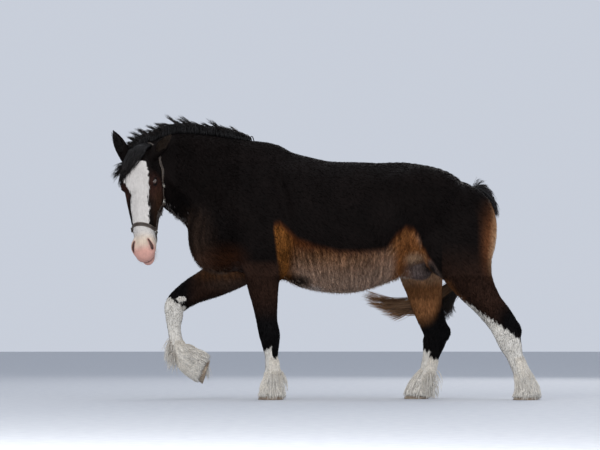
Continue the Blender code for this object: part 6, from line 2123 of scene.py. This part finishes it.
def build_halter():
    """Straps folded round their rings, with stitches, and a buckle with its tongue and keepers."""
    leather, metal = leather_material(), metal_material()
    seats = {}
    turn = np.linspace(0, 2 * math.pi, 48, endpoint=False)
    for name, at in (("ring", RING_AT), ("square", TOP_RING_AT)):
        for word, s in (("left", 1), ("right", -1)):
            middle, axis = ring_seat(at, s, RING_WIRE + 0.0065)
            seats[name, s] = (middle, axis)
            along = unit(DOWN - np.dot(DOWN, axis) * axis)
            side = np.cross(axis, along)
            path = middle + RING_RADIUS * (np.outer(np.cos(turn), side) + np.outer(np.sin(turn), along))
            wire(f"metal_{name}_{word}", path, RING_WIRE, metal, True, 12, f"halter_{name}_{word}")
    straps = {}
    for name, (start, end, roll, wide, ring) in STRAPS.items():
        straps[name] = even(loop_path(start, end, roll), STRAP_STEP), wide, (seats[ring, 1], seats[ring, -1])
    for word, s in (("left", 1), ("right", -1)):
        ends = seats["ring", s], seats["square", s]
        a, b = ends[0][0], ends[1][0]
        path = on_skin([a + (b - a) * t for t in np.linspace(0, 1, 40)], 0.0, 6)
        straps["cheek_" + word] = even(path, STRAP_STEP), CHEEK_WIDE, ends
    for name, (path, wide, ends) in straps.items():
        out = slope_of(path, head_field, STRAP_SLOPE)
        path = path + out * (STRAP_THICK / 2 + STRAP_OVER)
        path, out = round_wire(path, out, ends[0], True)
        path, out = round_wire(path, out, ends[1], False)
        strap_mesh("strap_" + name, path, out, wide, STRAP_THICK, leather, "halter_" + name)
    build_buckle(straps["crown"][0], leather, metal)


# Floor, lights and camera. A lamp: its place, size, power and colour.
LAMPS = {
    "key": ((-5.5, -7.5, 7.0), 5.0, 270, (1.0, 0.97, 0.93)),
    "fill": ((7.5, -6.0, 4.5), 6.0, 200, (0.97, 0.97, 1.0)),
    "front": ((-1.0, -9.0, 1.0), 5.0, 290, (1.0, 0.98, 0.95)),
    "top": ((0.5, 1.0, 8.0), 6.0, 110, (1.0, 1.0, 1.0)),
    "rim": ((3.0, 8.0, 5.0), 5.0, 200, (1.0, 0.96, 0.92)),
}
FLOOR_RADIUS = 60
SENSOR = 36                       # mm
CAMERA_AT, CAMERA_AIM = (0, -18, 0.42), (0, 0, 1.183)
CAMERA_FAR = 18.016               # between the two
SEEN_WIDE = 4.08                  # width of the picture at the horse
SKY = (0.58, 0.62, 0.70)


def stand(name, data, place, aim):
    """A lamp or a camera at a place, turned to what it looks at."""
    made = bpy.data.objects.new(name, data)
    made.location = place
    made.rotation_mode = "QUATERNION"
    made.rotation_quaternion = (aim - place).to_track_quat("-Z", "Y")
    bpy.context.collection.objects.link(made)
    return made


def build_set():
    """Floor, lights and camera."""
    tree = Tree("floor_pale", 0.8, Specular_IOR_Level=0.2)
    speck = tree.noise(14, 3)
    tree.link(tree.mix(tree.range(speck, 0.3, 0.7), (0.49, 0.51, 0.55), (0.54, 0.56, 0.59)), "Base Color")
    around = np.linspace(0, 2 * math.pi, 64, endpoint=False)
    points = [(FLOOR_RADIUS * math.cos(a), FLOOR_RADIUS * math.sin(a), 0.0) for a in around]
    floor = add_mesh("floor", np.array(points), [tuple(range(64))], tree.made)
    scene = bpy.context.scene
    scene.view_settings.view_transform = "Standard"
    world = bpy.data.worlds.new("studio")
    scene.world = world
    world.use_nodes = True
    world.node_tree.nodes["Background"].inputs["Color"].default_value = (*SKY, 1)
    world.node_tree.nodes["Background"].inputs["Strength"].default_value = 1.0
    for name, (place, size, power, colour) in LAMPS.items():
        data = bpy.data.lights.new(name, "AREA")
        data.size = size
        data.energy = power
        data.color = colour
        stand(name, data, Vector(place), Vector((0, 0, 1.0)))
    data = bpy.data.cameras.new("camera")
    data.sensor_width = SENSOR
    eye, aim = (Vector(place) + Vector(MOVE) for place in (CAMERA_AT, CAMERA_AIM))
    data.lens = SENSOR * CAMERA_FAR / SEEN_WIDE
    scene.camera = stand("camera", data, eye, aim)


# Build.
build_set()
skin_made, skin_points, skin_normals = build_skin()
build_coat(Skin(skin_made, skin_points, skin_normals))
mane_hair = build_mane()
build_forelock(mane_hair)
build_tail()
white_hair = build_feather()
build_fine_hair(mane_hair, white_hair)
build_hooves()
build_eyes()
build_halter()
